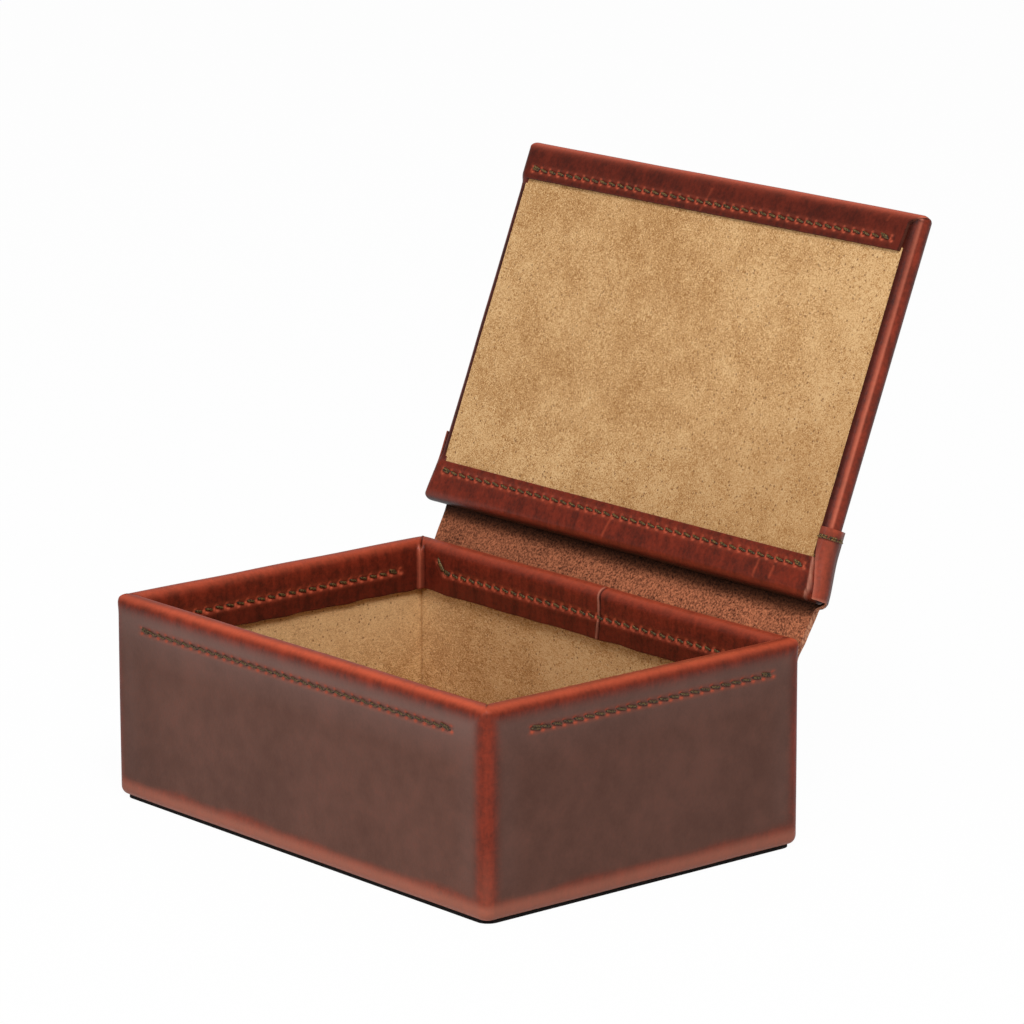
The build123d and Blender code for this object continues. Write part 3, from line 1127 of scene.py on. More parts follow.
    def build(self, nodes: dict[str, bpy.types.Object]) -> list[bpy.types.Object]:
        """Makes and dresses everything that stays with the box.

        Args:
            nodes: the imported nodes.

        Returns:
            The pieces.
        """
        panels = {
            "floor_lining": (2, 1),
            "front_lining": (1, 1),
            "rear_lining": (1, -1),
            "left_lining": (0, 1),
            "right_lining": (0, -1),
        }
        made = [self.leather()]
        made += [self.lining(node, *way) for node, way in panels.items()]
        for node, rows in self.rows().items():
            thread = sewing(node.replace("stitches", "thread"), rows, self.finishes)
            made.append(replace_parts(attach(thread, "box"), node))
        boards = ["base_infill", "base_board", "front_board", "rear_board", "left_board", "right_board"]
        made += [dress(nodes[board], self.finishes.board) for board in boards]
        made.append(dress(nodes["base_cover"], self.finishes.base_sheet))
        return made


@dataclass
class LidPlace:
    """Where the lid is at rest: its closed place turned back about the hinge."""

    rim: float
    half_depth: float
    joint: dict[str, object]
    thick: float = 9.4 * MM
    rest_gap: float = 0.8 * MM
    front_setback: float = 3.1 * MM
    rear_setback: float = 1.0 * MM

    def __post_init__(self) -> None:
        """Reads the hinge and works out the turn."""
        self.pivot = np.array(self.joint["pos_m"], float)
        turn = math.radians(-self.joint["range_deg"][0])
        self.cos, self.sin = math.cos(turn), math.sin(turn)
        self.rear = self.half_depth - self.rear_setback
        self.front = -self.half_depth + self.front_setback
        self.length = self.rear - self.front
        self.outer = self.rim + self.rest_gap + self.thick

    def put(self, x: Array | float, y: Array | float, z: Array | float) -> Array:
        """Places points of the lid.

        The closed point is turned by the opening angle about the hinge line, which runs along x.

        Args:
            x: to the right.
            y: from the lid's middle towards its front edge.
            z: from its outer face towards its inner face.

        Returns:
            The points at rest.
        """
        x, y, z = np.broadcast_arrays(x, y, z)
        closed_y = (self.rear + self.front) / 2 - y - self.pivot[1]
        closed_z = self.outer - z - self.pivot[2]
        open_y = closed_y * self.cos + closed_z * self.sin
        open_z = -closed_y * self.sin + closed_z * self.cos
        return np.stack([x, open_y + self.pivot[1], open_z + self.pivot[2]], axis=-1)

    def way(self, x: float, y: float, z: float) -> Array:
        """A direction of the lid as a unit vector at rest."""
        return self.put(x, y, z) - self.put(0.0, 0.0, 0.0)


@dataclass
class LidGrid:
    """The lid leather's points in the lid's own directions: the rings, then the grid of the outer face."""

    ring_x: Array
    ring_y: Array
    front_inset: Array
    at_rear: Array
    rear_end: Array
    x: Array
    y: Array
    z: Array
    ring: Array
    panel: tuple[int, int]

    def spread(self, values: Array) -> Array:
        """Values on the rings, as a list for all points, with 0 on the outer face's grid."""
        rest = np.zeros(self.panel[0] * self.panel[1])
        return np.concatenate([np.broadcast_to(values, self.ring_x.shape).ravel(), rest])


@dataclass
class Lid:
    """The flat lid: leather rolled round a board, sewn margins front and rear, suede between."""

    finishes: Finishes
    place: LidPlace
    half_x: float
    leather_thick: float = LEATHER
    edge_radius: float = 4.4 * MM
    side_thick: float = 8.0 * MM
    corner_radius: float = 2.2 * MM
    front_fold: float = 14.0 * MM
    rear_fold: float = 15.0 * MM
    side_fold: float = 5.4 * MM
    row_from_fold: float = 3.5 * MM
    suede_thick: float = 1.0 * MM
    suede_under: float = 1.2 * MM
    panel_inset: float = 6.5 * MM
    flare: float = 2.0 * MM
    fold_end: float = 4.8 * MM
    fold_push: float = 2.2 * MM
    margin_wave: float = 0.10 * MM
    side_wave: float = 0.15 * MM
    end_wave: float = 0.20 * MM
    suede_dip: float = 0.12 * MM
    wide_columns: int = 380
    arc_columns: int = 20
    roll_rings: int = 19

    def __post_init__(self) -> None:
        """Spaces the columns: even along the width, close together near the sewn rows along the length."""
        self.half_y = self.place.length / 2
        self.front = self.half_y - self.front_fold
        self.rear = -self.half_y + self.rear_fold
        self.mid = 2 + self.roll_rings // 2
        self.creases = [
            (-2.5 * MM, self.front, self.half_y - 5 * MM),
            (88 * MM, self.front + 9 * MM, self.half_y - 2 * MM),
            (-4 * MM, -self.half_y + 2 * MM, self.rear - 4 * MM),
            (73 * MM, -self.half_y + 3 * MM, self.rear - 5 * MM),
            (81 * MM, -self.half_y + 4 * MM, self.rear - 6 * MM),
        ]
        close = np.linspace(0.0, 0.10, 18)
        deep = np.concatenate([close, np.linspace(0.10, 0.90, 40)[1:-1], np.linspace(0.90, 1.0, 18)])
        self.path = RoundedPath(np.linspace(0, 1, self.wide_columns), deep, self.arc_columns)

    def rows(self) -> dict[str, list[SewnRow]]:
        """The sewn rows near the front edge, on both faces, and near the rear edge, on the inner face.

        Returns:
            Rows under the name of the stitch node that they replace.
        """
        t = self.place.thick
        front_y, rear_y = self.front + self.row_from_fold, self.rear - self.row_from_fold
        along, inner, outer = self.place.way(1, 0, 0), self.place.way(0, 0, 1), self.place.way(0, 0, -1)

        def row(x: float, y: float, z: float, out: Array, count: int, cover: float, pucker: float) -> SewnRow:
            """One row across the lid."""
            start = self.place.put(x, y, z)
            return SewnRow(start, along, out, count, cover=cover, pucker=pucker, shade=0.22)

        return {
            "lid_front_stitches": [
                row(LID_ROW_START, front_y, t, inner, LID_ROW_STITCHES, cover=0.78, pucker=1.15),
                row(LID_ROW_START, front_y, 0.0, outer, LID_ROW_STITCHES, cover=0.92, pucker=0.5),
            ],
            "lid_rear_stitches": [row(-96.0 * MM, rear_y, t, inner, 41, cover=0.80, pucker=1.05)],
        }

    def widened(self, x: Array, y: Array) -> Array:
        """x with the lid's rear corners drawn outwards: the flare times a smooth rise to the rear edge."""
        rear = smooth(y, -self.half_y + 18 * MM, -self.half_y)
        return x + self.flare * rear * np.clip(x / self.half_x, -1.0, 1.0)

    def shape(self) -> LidGrid:
        """Rolls the leather round the lid.

        Nested rounded rectangles run from the outer face over a half-round edge to the inner face, where
        each side has its own fold width, and on under the folds. The folds at front and rear lie higher
        than the side beads, with a step on the corner's diagonal, and a flat grid closes the outer face.

        Returns:
            The points.
        """
        path, t, cut, edge = self.path, self.place.thick, self.leather_thick, self.edge_radius
        roll = np.linspace(0.0, math.pi, self.roll_rings)
        across = np.linspace(0.0, 1.0, 25)[1:]

        def inset(width: float) -> Array:
            """Each ring's distance from the lid's edge for a fold of that width."""
            return np.concatenate([
                [self.panel_inset, edge + 0.6 * MM],
                edge - edge * np.sin(roll),
                edge + (width - edge) * across,
                width + np.array([0.15, 0.25, 0.2, -0.2]) * MM,
                [3.0 * MM, 2.4 * MM, 2.4 * MM],
            ])

        def levels(thick: float) -> Array:
            """Heights from the outer face for a margin that ends at that thickness, as a column."""
            return np.concatenate([
                [0.0, 0.0],
                thick / 2 - thick / 2 * np.cos(roll),
                np.full(len(across), thick),
                [thick - 0.15 * MM, thick - 0.5 * MM, t - cut - 0.1 * MM, t - cut - 0.15 * MM],
                [t - cut - 0.2 * MM, t - cut - 0.6 * MM, cut],
            ])[:, None]

        front, rear, side = inset(self.front_fold), inset(self.rear_fold), inset(self.side_fold)
        radius = np.maximum(self.corner_radius - np.minimum.reduce([front, rear, side]), 0.0)
        x, y = path.loops(self.half_x, self.half_y, (side, rear, front), radius)
        at_rear = y < 0
        raised = np.where(path.front_or_rear, 1.0, 0.0)
        step = smooth(path.arc, 0.50, 0.62)
        lifted = np.where(path.arc > 0, raised * (1 - step) + (1 - raised) * step, raised)
        square = smooth(self.half_x - x, self.fold_end, self.fold_end + 0.7 * MM)
        lifted = np.where(at_rear & (x > 0), square * (path.side == Side.FRONT), lifted)
        near_fold = np.maximum(
            smooth(y, self.front - 2.5 * MM, self.front + 1.5 * MM),
            smooth(y, self.rear + 2.5 * MM, self.rear - 1.5 * MM),
        )
        left_side = (path.side == Side.LEFT) | ((path.side == Side.REAR) & (path.arc > 0))
        lifted = np.where(left_side, near_fold, lifted)
        z = levels(self.side_thick) * (1 - lifted) + levels(t) * lifted
        index = np.arange(len(side))[:, None]
        rear_end = bell(self.half_x - x - self.fold_end - 0.6 * MM, 0.35 * MM)
        outer_end = smooth(x, self.half_x - 16 * MM, self.half_x - self.side_fold)
        outer_end = outer_end * smooth(y, self.rear + 3 * MM, self.rear)
        x = x + self.fold_push * np.clip((index - self.mid - 4) / 5, 0.0, 1.0) * outer_end
        inner_rows = (index > self.mid) & (index < len(side) - 5)
        z = z + inner_rows * self.margin_wave * ripple(21, 40 * MM, x, y) - inner_rows * self.margin_wave
        high_edge = bell(index - self.mid, 5.0) * (index > 1)
        x = x + path.out_x * self.side_wave * high_edge * ripple(23, 55 * MM, x, y)
        y = y + path.out_y * self.end_wave * high_edge * ripple(24, 55 * MM, x, y)
        span_x, span_y = np.ptp(x[0]), np.ptp(y[0])
        panel_x, panel_y = np.meshgrid(x[0].min() + span_x * path.wide, y[0].min() + span_y * path.deep)
        return LidGrid(
            ring_x=x,
            ring_y=y,
            front_inset=front,
            at_rear=at_rear,
            rear_end=rear_end,
            x=np.concatenate([x.ravel(), panel_x.ravel()]),
            y=np.concatenate([y.ravel(), panel_y.ravel()]),
            z=np.concatenate([z.ravel(), np.zeros(panel_x.size)]),
            ring=np.concatenate([np.broadcast_to(index, x.shape).ravel(), np.zeros(panel_x.size, int)]),
            panel=panel_x.shape,
        )

    def paint(self, g: LidGrid, holes: Array) -> dict[str, Array]:
        """Paints the finish: red folds, worn edges and holes, a painted highlight along each side bead with
        painted shade beside it, and painted shadow where the folds end and under the rear edge.

        Args:
            g: the leather's points.
            holes: for each point, how tight the thread draws it.

        Returns:
            The painted values by name.
        """
        path, t, mid, ring = self.path, self.place.thick, self.mid, g.ring
        index = np.arange(len(g.ring_x))[:, None]
        x_far, y_far = self.half_x - np.abs(g.x), self.half_y - np.abs(g.y)
        far = np.maximum(np.minimum(x_far, y_far), 0.0)
        on_outer, on_inner, at_side = g.z < t * 0.3, g.z > t * 0.6, x_far < y_far
        rich = np.where(on_outer, 0.95 * np.exp(-((far / (10 * MM)) ** 1.6)), 1.0)
        on_edge = np.where(at_side, bell(ring - (mid + 1.6), 2.4), bell(ring - (mid + 2.6), 3.0))
        beaded = g.spread(~path.front_or_rear)
        free = smooth(g.y, self.rear - 1 * MM, self.rear + 4 * MM) * at_side * (ring > 1) * beaded
        free = free * np.where(g.x < 0, smooth(g.y, self.front + 1 * MM, self.front - 4 * MM), 1.0)
        # painted highlight along the crown of each side bead
        crown_highlight = free * bell(ring - (mid + 4.3), 0.80)
        # painted shade on both sides of the bead's highlight
        shaded = free * np.maximum(
            0.72 * smooth(ring, mid + 4.9, mid + 8.0), 0.35 * smooth(ring, mid + 3.0, mid - 3.0)
        )
        # gap: a painted shadow line on the front-right corner beside the fold's cut end
        low_side = np.where(path.front_or_rear, 0.72, 0.42)
        front_right = (path.arc > 0) & ~g.at_rear & (g.ring_x > 0)
        gap = bell(path.arc - low_side, 0.08) * (index > mid) * front_right
        end = 0.5 * bell(path.arc - 0.57, 0.06) * (index > mid - 3) * front_right
        end = np.maximum(end, g.rear_end * g.at_rear * (index > mid - 3) * path.front_or_rear)
        # with gap, a painted shadow of the front fold's end on the right bead
        to_fold = self.half_y - g.front_inset[:, None] - g.ring_y
        on_right = (path.side == Side.RIGHT) & (path.arc == 0)
        diagonal = g.spread(np.maximum(gap, bell(to_fold, 1.5 * MM) * on_right * (index > mid)))
        lines = np.zeros(len(g.x))
        for at, low_y, high_y in self.creases:
            wander = g.x - at - 0.4 * MM * np.sin(g.y / (3.1 * MM)) - 0.25 * (g.y - low_y)
            within = (g.y > low_y) & (g.y < high_y)
            lines = np.maximum(lines, bell(wander, 0.55 * MM) * within * on_inner)
        rubbed = np.maximum.reduce([
            np.where(at_side, 0.10, 1.1) * on_edge, 0.75 * crown_highlight, holes, 0.42 * lines
        ])
        # painted shadow under the lid's rear edge
        below = g.spread(smooth(index, mid + 8.0, mid + 1.5) * g.at_rear)
        below = below * bell(g.y + self.half_y, 5.0 * MM) * (ring > 1)
        # darker on the front fold's flat, away from its edge and holes
        front_flat = 0.42 * on_inner * smooth(g.y, 0.0, self.front) * (1 - on_edge) * (1 - holes)
        polish = np.where(at_side, 0.10, 0.20) * bell(ring - (mid + 3.0), 4.0)
        return {
            "rich": np.maximum(rich, 0.7 * holes),
            "rubbed": rubbed * (1 - diagonal) * (1 - below),
            "bloom": on_outer * 0.35,
            "cut": np.maximum.reduce([0.8 * g.spread(end), 0.10 * holes, 0.35 * crown_highlight]),
            "crease": np.maximum.reduce([0.9 * diagonal, 0.95 * below, front_flat, shaded]),
            "polish": polish * (1 - below),
        }

    def leather(self) -> bpy.types.Object:
        """Places the leather at rest and lets the thread draw it in.

        Returns:
            The leather.
        """
        g = self.shape()
        points = self.place.put(self.widened(g.x, g.y), g.y, g.z)
        holes = np.zeros(len(points))
        for rows in self.rows().values():
            for row in rows:
                move, mark = row.sink(points)
                points = points + move[:, None] * row.out
                holes = np.maximum(holes, mark)
        count, columns = g.ring_x.shape
        rings = grid_faces(count, columns, wrap_columns=True)
        panel = grid_faces(*g.panel) + g.ring_x.size
        inside = np.arange((count - 1) * columns, count * columns)[None]
        faces = [rings, panel, inside]
        piece = Piece("lid_leather", points, faces, [self.finishes.leather], self.paint(g, holes)).build()
        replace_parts(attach(piece, "lid"), "lid_cover")
        edges = 2 * self.place.thick
        flat = (2 * self.half_x + edges, self.place.length + self.front_fold + self.rear_fold + edges)
        return piece

    def lining(self) -> bpy.types.Object:
        """The suede panel: a grid that dips by a soft ripple, one suede thickness deep.

        Returns:
            The panel.
        """
        top = self.side_thick + 0.15 * MM
        side = self.side_fold - 0.8 * MM
        u = np.linspace(-self.half_x + side, self.half_x - side, 81)
        v = np.linspace(self.rear - self.suede_under, self.front + self.suede_under, 61)
        x, y = np.meshgrid(u, v, indexing="ij")
        dip = self.suede_dip * (1 + ripple(31, 36 * MM, x, y))
        shown = self.place.put(x, y, top - dip)
        back = self.place.put(x, y, top - self.suede_thick)
        points, faces, _ = thickened(shown.reshape(-1, 3), grid_faces(len(u), len(v)), back.reshape(-1, 3))
        # painted shade: darker towards the right-hand corner at the hinge end
        corner = np.tile(((x / u[-1] - y / v[-1]) / 2).ravel(), 2)
        painted = {"deep": 0.5 * smooth(corner, 0.1, 0.75)}
        piece = Piece("lid_suede", points, [faces], [self.finishes.suede], painted).build()
        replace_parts(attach(piece, "lid"), "lid_lining")
        return piece

    def build(self, nodes: dict[str, bpy.types.Object]) -> list[bpy.types.Object]:
        """Makes and dresses everything that swings with the lid.

        Args:
            nodes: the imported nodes.

        Returns:
            The pieces.
        """
        made = [self.leather(), self.lining()]
        for node, rows in self.rows().items():
            thread = sewing(node.replace("stitches", "thread"), rows, self.finishes)
            made.append(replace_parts(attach(thread, "lid"), node))
        made.append(dress(nodes["lid_board"], self.finishes.board))
        return made


@dataclass(frozen=True)
class FlapSide:
    """One half of the hinge strip: its width at the lid and at the rim, and its ear round the lid's side.

    The strip closes round the side bead between two places along it, counted from the lid's rear edge,
    and the ear ends at an angle, in radians, at its upper and at its lower border.
    """

    sign: int
    flap: float
    low: float
    closes_from: float
    closes_to: float
    ear_top: float
    ear_foot: float


@dataclass
class StripGrid:
    """The hinge strip's inner side, rows by columns, and each point's place on it."""

    points: Array
    rise: Array
    run: Array
    edge: Array
    closed: Array
    kept: Array


@dataclass
class HingeLeather:
    """The hinge: one strip from the rear wall over the lid's rear edge, with ears round the lid's sides."""

    finishes: Finishes
    place: LidPlace
    lid_half_x: float
    wall_y: float
    tab_row: SewnRow
    tab_bottom: float = 42.0 * MM
    tab_top: float = 66.0 * MM
    tab_half: float = 96.0 * MM
    sides: tuple[FlapSide, FlapSide] = (
        FlapSide(
            sign=-1, flap=99.3 * MM, low=97.4 * MM, closes_from=0.3 * MM, closes_to=4.8 * MM,
            ear_top=2.30, ear_foot=2.10,
        ),
        FlapSide(
            sign=1, flap=98.4 * MM, low=98.9 * MM, closes_from=-3.4 * MM, closes_to=-0.05 * MM,
            ear_top=3.15, ear_foot=2.55,
        ),
    )
    tab_corner: float = 5.0 * MM
    thick: float = LEATHER
    ear_thin: float = 1.5 * MM
    ear_flare: float = 2.0 * MM
    sleeve_start: float = 1.2 * MM
    sleeve_length: float = 25.0 * MM
    fit: float = 0.1 * MM
    bead: float = 4.1 * MM
    row_from_edge: float = 3.0 * MM
    wave: float = 0.22 * MM
    wall_handle: float = 7.0 * MM
    lid_handle: float = 7.5 * MM
    rim_over_tab: float = 7.0 * MM
    blend_margin: float = 1.0 * MM
    ear_columns: int = 13

    def __post_init__(self) -> None:
        """Works out where the sleeve is sewn and where the leather starts to turn about the side bead."""
        self.sewn_y = -self.place.length / 2 + self.sleeve_start + self.sleeve_length - self.row_from_edge
        self.flat = self.lid_half_x - self.bead + self.fit

    @staticmethod
    def spread(sewn: float, length: float) -> Array:
        """Places from 0 to 1 along a stretch, close together about its sewn row.

        Args:
            sewn: the sewn row's place, from 0 to 1.
            length: the stretch's length.

        Returns:
            The places, in order.
        """
        near = 3.0 * MM / length
        close = np.linspace(max(sewn - near, 0.0), min(sewn + near, 1.0), 13)
        return np.union1d(np.linspace(0.0, 1.0, 11), close)

    def line(self) -> tuple[Array, Array]:
        """The strip's inner side seen from the right: up the wall, a cubic curve, then along the lid's face.

        Returns:
            y and z.
        """
        step = self.place.way(0, 1, 0)
        first = self.place.put(0.0, -self.place.length / 2 + self.sleeve_start, -self.fit)
        wall = np.array([0.0, self.wall_y, self.tab_top])
        rise = np.array([0.0, 0.0, self.wall_handle])
        t = np.linspace(0.0, 1.0, 34)[:, None]
        curve = (
            (1 - t) ** 3 * wall
            + 3 * t * (1 - t) ** 2 * (wall + rise)
            + 3 * t**2 * (1 - t) * (first - step * self.lid_handle)
            + t**3 * first
        )
        low = np.array([0.0, self.wall_y, self.tab_bottom])
        tab_length = self.tab_top - self.tab_bottom
        sewn = (float(self.tab_row.start[2]) - self.tab_bottom) / tab_length
        tab = low + (wall - low) * self.spread(sewn, tab_length)[:-1, None]
        sewn = 1.0 - self.row_from_edge / self.sleeve_length
        foot = np.arange(1, 7) * 0.5 * MM / self.sleeve_length
        places = np.union1d(self.spread(sewn, self.sleeve_length)[1:], foot)
        line = np.concatenate([tab, curve, first + step * self.sleeve_length * places[:, None]])
        return line[:, 1], line[:, 2]

    def sleeve_row(self) -> SewnRow:
        """The row that holds the sleeve on the lid's outer face."""
        begin = self.place.put(LID_ROW_START, self.sewn_y, -self.fit - self.thick)
        return SewnRow(begin, self.place.way(1, 0, 0), self.place.way(0, 0, -1), LID_ROW_STITCHES)

    def ear_stitch(self, side: int, part: int) -> SewnRow:
        """One of the stitches round an ear: a chord of the bead's circle, bowed out to follow the leather.

        Args:
            side: -1 on the left, 1 on the right.
            part: 0 for the stitch nearest the outer face, then 1 and 2.

        Returns:
            The stitch as a row of one.
        """
        step, middle = 0.78, 1.15 + 0.80 * part
        radius = self.bead + self.fit + self.thick - self.ear_thin + 0.15 * MM
        turns = np.array([middle - step / 2, middle + step / 2])
        across = side * (self.lid_half_x - self.bead + radius * np.sin(turns))
        ends = self.place.put(across, self.sewn_y, self.bead - radius * np.cos(turns))
        chord = ends[1] - ends[0]
        length = float(np.linalg.norm(chord))
        out = self.place.way(side * math.sin(middle), 0.0, -math.cos(middle))
        bow = radius * (1 - math.cos(step / 2)) + 0.1 * MM
        along = chord / length
        return SewnRow(ends[0], along, out, 1, pitch=length, slant=0.0, thread=0.32 * MM, rise=bow)

    def half_strip(self, side: FlapSide, y: Array, z: Array, rise: Array) -> tuple[Array, ...]:
        """One half of the strip's inner side, from the middle outwards.

        Across the strip the leather runs flat and then turns about the lid's side bead: its angle grows
        with the length along it, and the place is the running sum of the cosine and sine of that angle.
        Below the lid the strip stays flat and narrower, and a smooth step closes it round the bead.

        Args:
            side: the half.
            y: each row's y.
            z: each row's z.
            rise: each row's length along the strip.

        Returns:
            The points, each point's length from the middle and distance to the border, each row's closing.
        """
        reach, flat = self.lid_half_x, self.flat
        sleeve_at = rise[-1] - self.sleeve_length
        closed = smooth(rise, sleeve_at + side.closes_from, sleeve_at + side.closes_to)
        ear_turn = side.ear_foot + (side.ear_top - side.ear_foot) * smooth(rise, sleeve_at, rise[-1])
        ends = flat + self.bead * ear_turn
        main = np.concatenate([np.linspace(0.0, 1.0, 170)[:-1] * flat, np.linspace(flat, reach, 6)])
        ear = np.linspace(0.0, 1.0, self.ear_columns + 1)[1:]
        length = np.concatenate([
            np.broadcast_to(main, (len(y), len(main))), reach + (ends - reach)[:, None] * ear
        ], axis=1)
        angle = np.clip((length - flat) / self.bead, 0.0, math.pi)
        turn = (angle[:, 1:] + angle[:, :-1]) / 2 * closed[:, None]
        gap = np.diff(length, axis=1)
        none = np.zeros((len(y), 1))
        across = np.concatenate([none, np.cumsum(gap * np.cos(turn), axis=1)], axis=1)
        under = np.concatenate([none, np.cumsum(gap * np.sin(turn), axis=1)], axis=1)
        corner = np.clip(self.tab_corner - rise, 0.0, None)
        rounded = self.tab_corner - np.sqrt(np.maximum(self.tab_corner**2 - corner**2, 0.0))
        top = float(np.interp(sleeve_at, rise, z))
        rim = self.tab_top + self.rim_over_tab
        above = smooth(z, self.tab_top - 4 * MM, rim)
        upper = np.clip((z - rim) / (top - rim), 0.0, 1.0)
        half = self.tab_half + (side.low - self.tab_half) * above + (side.flap - side.low) * upper - rounded
        foot = smooth(rise, sleeve_at + 17 * MM, sleeve_at)
        wide = across * (half / reach * (1 - closed) + closed)[:, None]
        wide = wide + self.ear_flare * (foot * closed)[:, None] * np.clip(wide / reach, 0.0, 1.0) ** 6
        base = np.stack([np.zeros(len(y)), y, z], axis=-1)[:, None, :]
        points = base + wide[..., None] * (side.sign * X) + under[..., None] * self.place.way(0, 0, 1)
        return points, length, ends[:, None] - length, closed

    def shape(self) -> StripGrid:
        """Joins the two halves and picks the faces, as an ear only begins where it is closed.

        Returns:
            The strip.
        """
        y, z = self.line()
        rise = np.concatenate([[0.0], np.cumsum(np.hypot(np.diff(y), np.diff(z)))])
        halves = [self.half_strip(side, y, z, rise) for side in self.sides]
        left_closed, right_closed = (half[3] for half in halves)
        half_columns = halves[0][1].shape[1]
        points, run, edge = (
            np.concatenate([left[:, :0:-1], right], axis=1) for left, right in zip(*[h[:3] for h in halves])
        )
        rows, columns = run.shape
        on_left = np.arange(columns) < half_columns - 1
        closed = np.where(on_left, left_closed[:, None], right_closed[:, None])
        faces = grid_faces(rows, columns)
        row_of, column_of = faces[:, 0] // columns, faces[:, 0] % columns
        middle_of = np.abs(column_of + 0.5 - (columns - 1) / 2)
        is_ear = middle_of > half_columns - 1 - self.ear_columns
        begins = np.where(on_left[column_of], np.argmax(left_closed >= 1.0), np.argmax(right_closed >= 1.0))
        return StripGrid(points, rise, run, edge, closed, faces[~is_ear | (row_of >= begins)])

    def paint(self, g: StripGrid, holes: Array, round_bead: Array) -> dict[str, Array]:
        """Paints both sides: the flesh side's painted shadow below the lid and darker towards the left, the
        grain side's bends, worn edges, and each ear's painted highlight with painted shade on its sides.

        Args:
            g: the strip.
            holes: how tight the thread draws each point of the grain side.
            round_bead: how far each point has turned about the lid's side.

        Returns:
            The painted values by name, the flesh side first.
        """
        used = np.unique(g.kept)
        rise, closed = g.rise[:, None], g.closed

        def pick(values: Array) -> Array:
            """The values at the points that are used."""
            return np.broadcast_to(values, g.run.shape).ravel()[used]

        none = np.zeros(len(used))
        sleeve_at = g.rise[-1] - self.sleeve_length
        edge_far = pick(np.minimum(g.rise[-1] - rise, g.edge))
        bend = pick(bell(np.linspace(0, 1, len(rise))[:, None] - 0.55, 0.22))
        turned = np.clip((g.run - self.flat) / self.bead, 0.0, math.pi)
        # painted highlight along each ear's crown
        crown_highlight = pick(bell(turned - 2.15, 0.55) * closed)
        # painted shade on the ear's sides, either side of its highlight
        sides = np.maximum(smooth(turned, 2.6, 3.1), smooth(turned, 1.5, 0.7) * (turned > 0.2))
        foot = bell(rise - sleeve_at, 0.7 * MM) * (turned > 1.2)
        brim = pick(np.maximum(bell(g.edge, 0.7 * MM), 1.6 * foot) * closed)
        # flesh side: painted shadow below the lid's rear edge, and darker towards the left
        shaded = np.maximum(
            0.9 * smooth(rise, sleeve_at - 9 * MM, sleeve_at - 1 * MM),
            0.24 * smooth(g.points[..., 0], 30 * MM, -60 * MM),
        )
        rubbed = np.tile(np.maximum(0.35 * bell(edge_far, 2.0 * MM), 0.22 * crown_highlight), 2)
        return {
            "rich": np.tile(0.55 + 0.45 * np.maximum(bell(edge_far, 6 * MM), bend), 2),
            "rubbed": np.maximum(rubbed, 0.9 * np.concatenate([none, pick(holes)])),
            "bloom": np.tile(none, 2),
            "cut": np.concatenate([none, np.maximum(0.05 * crown_highlight, 0.25 * brim)]),
            "crease": np.concatenate([pick(shaded), 0.45 * pick(sides * closed)]),
            "polish": np.tile(0.05 * pick(round_bead), 2),
        }

    def build(self) -> list[bpy.types.Object]:
        """Makes the strip and its sewing.

        The far side stands one leather thickness off along the surface's own normal, less round the lid's
        sides.

        Returns:
            The pieces.
        """
        g = self.shape()
        normal = np.cross(np.gradient(g.points, axis=0), np.gradient(g.points, axis=1))
        normal /= np.linalg.norm(normal, axis=-1, keepdims=True)
        normal = normal * np.sign((normal * -self.place.way(0, 0, 1)).sum(-1).mean())
        round_bead = smooth(g.run, self.flat, self.flat + self.bead) * g.closed
        thin = self.thick - self.ear_thin * round_bead
        wave = self.wave * ripple(41, 30 * MM, g.points[..., 0], g.points[..., 2]) * (g.closed < 0.5)
        wave = wave * smooth(g.rise, 24 * MM, 30 * MM)[:, None]
        g.points = g.points + normal * wave[..., None]
        far = g.points + normal * thin[..., None]
        holes = np.zeros(far.shape[:2])
        for row in (self.tab_row, self.sleeve_row()):
            move, mark = row.sink(far)
            far = far + move[..., None] * row.out
            holes = np.maximum(holes, mark)
        points, faces, zone = thickened(g.points.reshape(-1, 3), g.kept, far.reshape(-1, 3))
        middle = points[faces].mean(axis=1)
        left_ear = (middle[:, 0] < 8 * MM - self.lid_half_x) & (middle[:, 2] > self.place.pivot[2] + 8 * MM)
        zone = np.where((zone == 2) & left_ear, 1, zone)
        materials = [self.finishes.flesh, self.finishes.leather, self.finishes.edge]
        painted = self.paint(g, holes, round_bead)
        piece = Piece("hinge_strip", points, [faces], materials, painted, zone).build()
        start = (0.0, self.wall_y, self.tab_top + self.blend_margin)
        stop = self.place.put(0.0, -self.place.length / 2 + self.blend_margin, -self.fit)
        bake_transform(piece)
        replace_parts(piece, "hinge_tab", "hinge_flap", "hinge_sleeve")
        long = float(g.rise[-1])
        ears = float(g.run[-1, 0] + g.run[-1, -1]) - 2 * self.lid_half_x
        flat = (2 * self.lid_half_x + ears, long)
        area = float(2 * self.lid_half_x * long + ears * self.sleeve_length)
        ear_stitches = [self.ear_stitch(*place) for place in ((-1, 0), (1, 0), (1, 1), (1, 2))]
        thread = sewing("hinge_thread", [self.sleeve_row()] + ear_stitches, self.finishes)
        return [piece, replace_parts(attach(thread, "lid"), "hinge_stitches")]


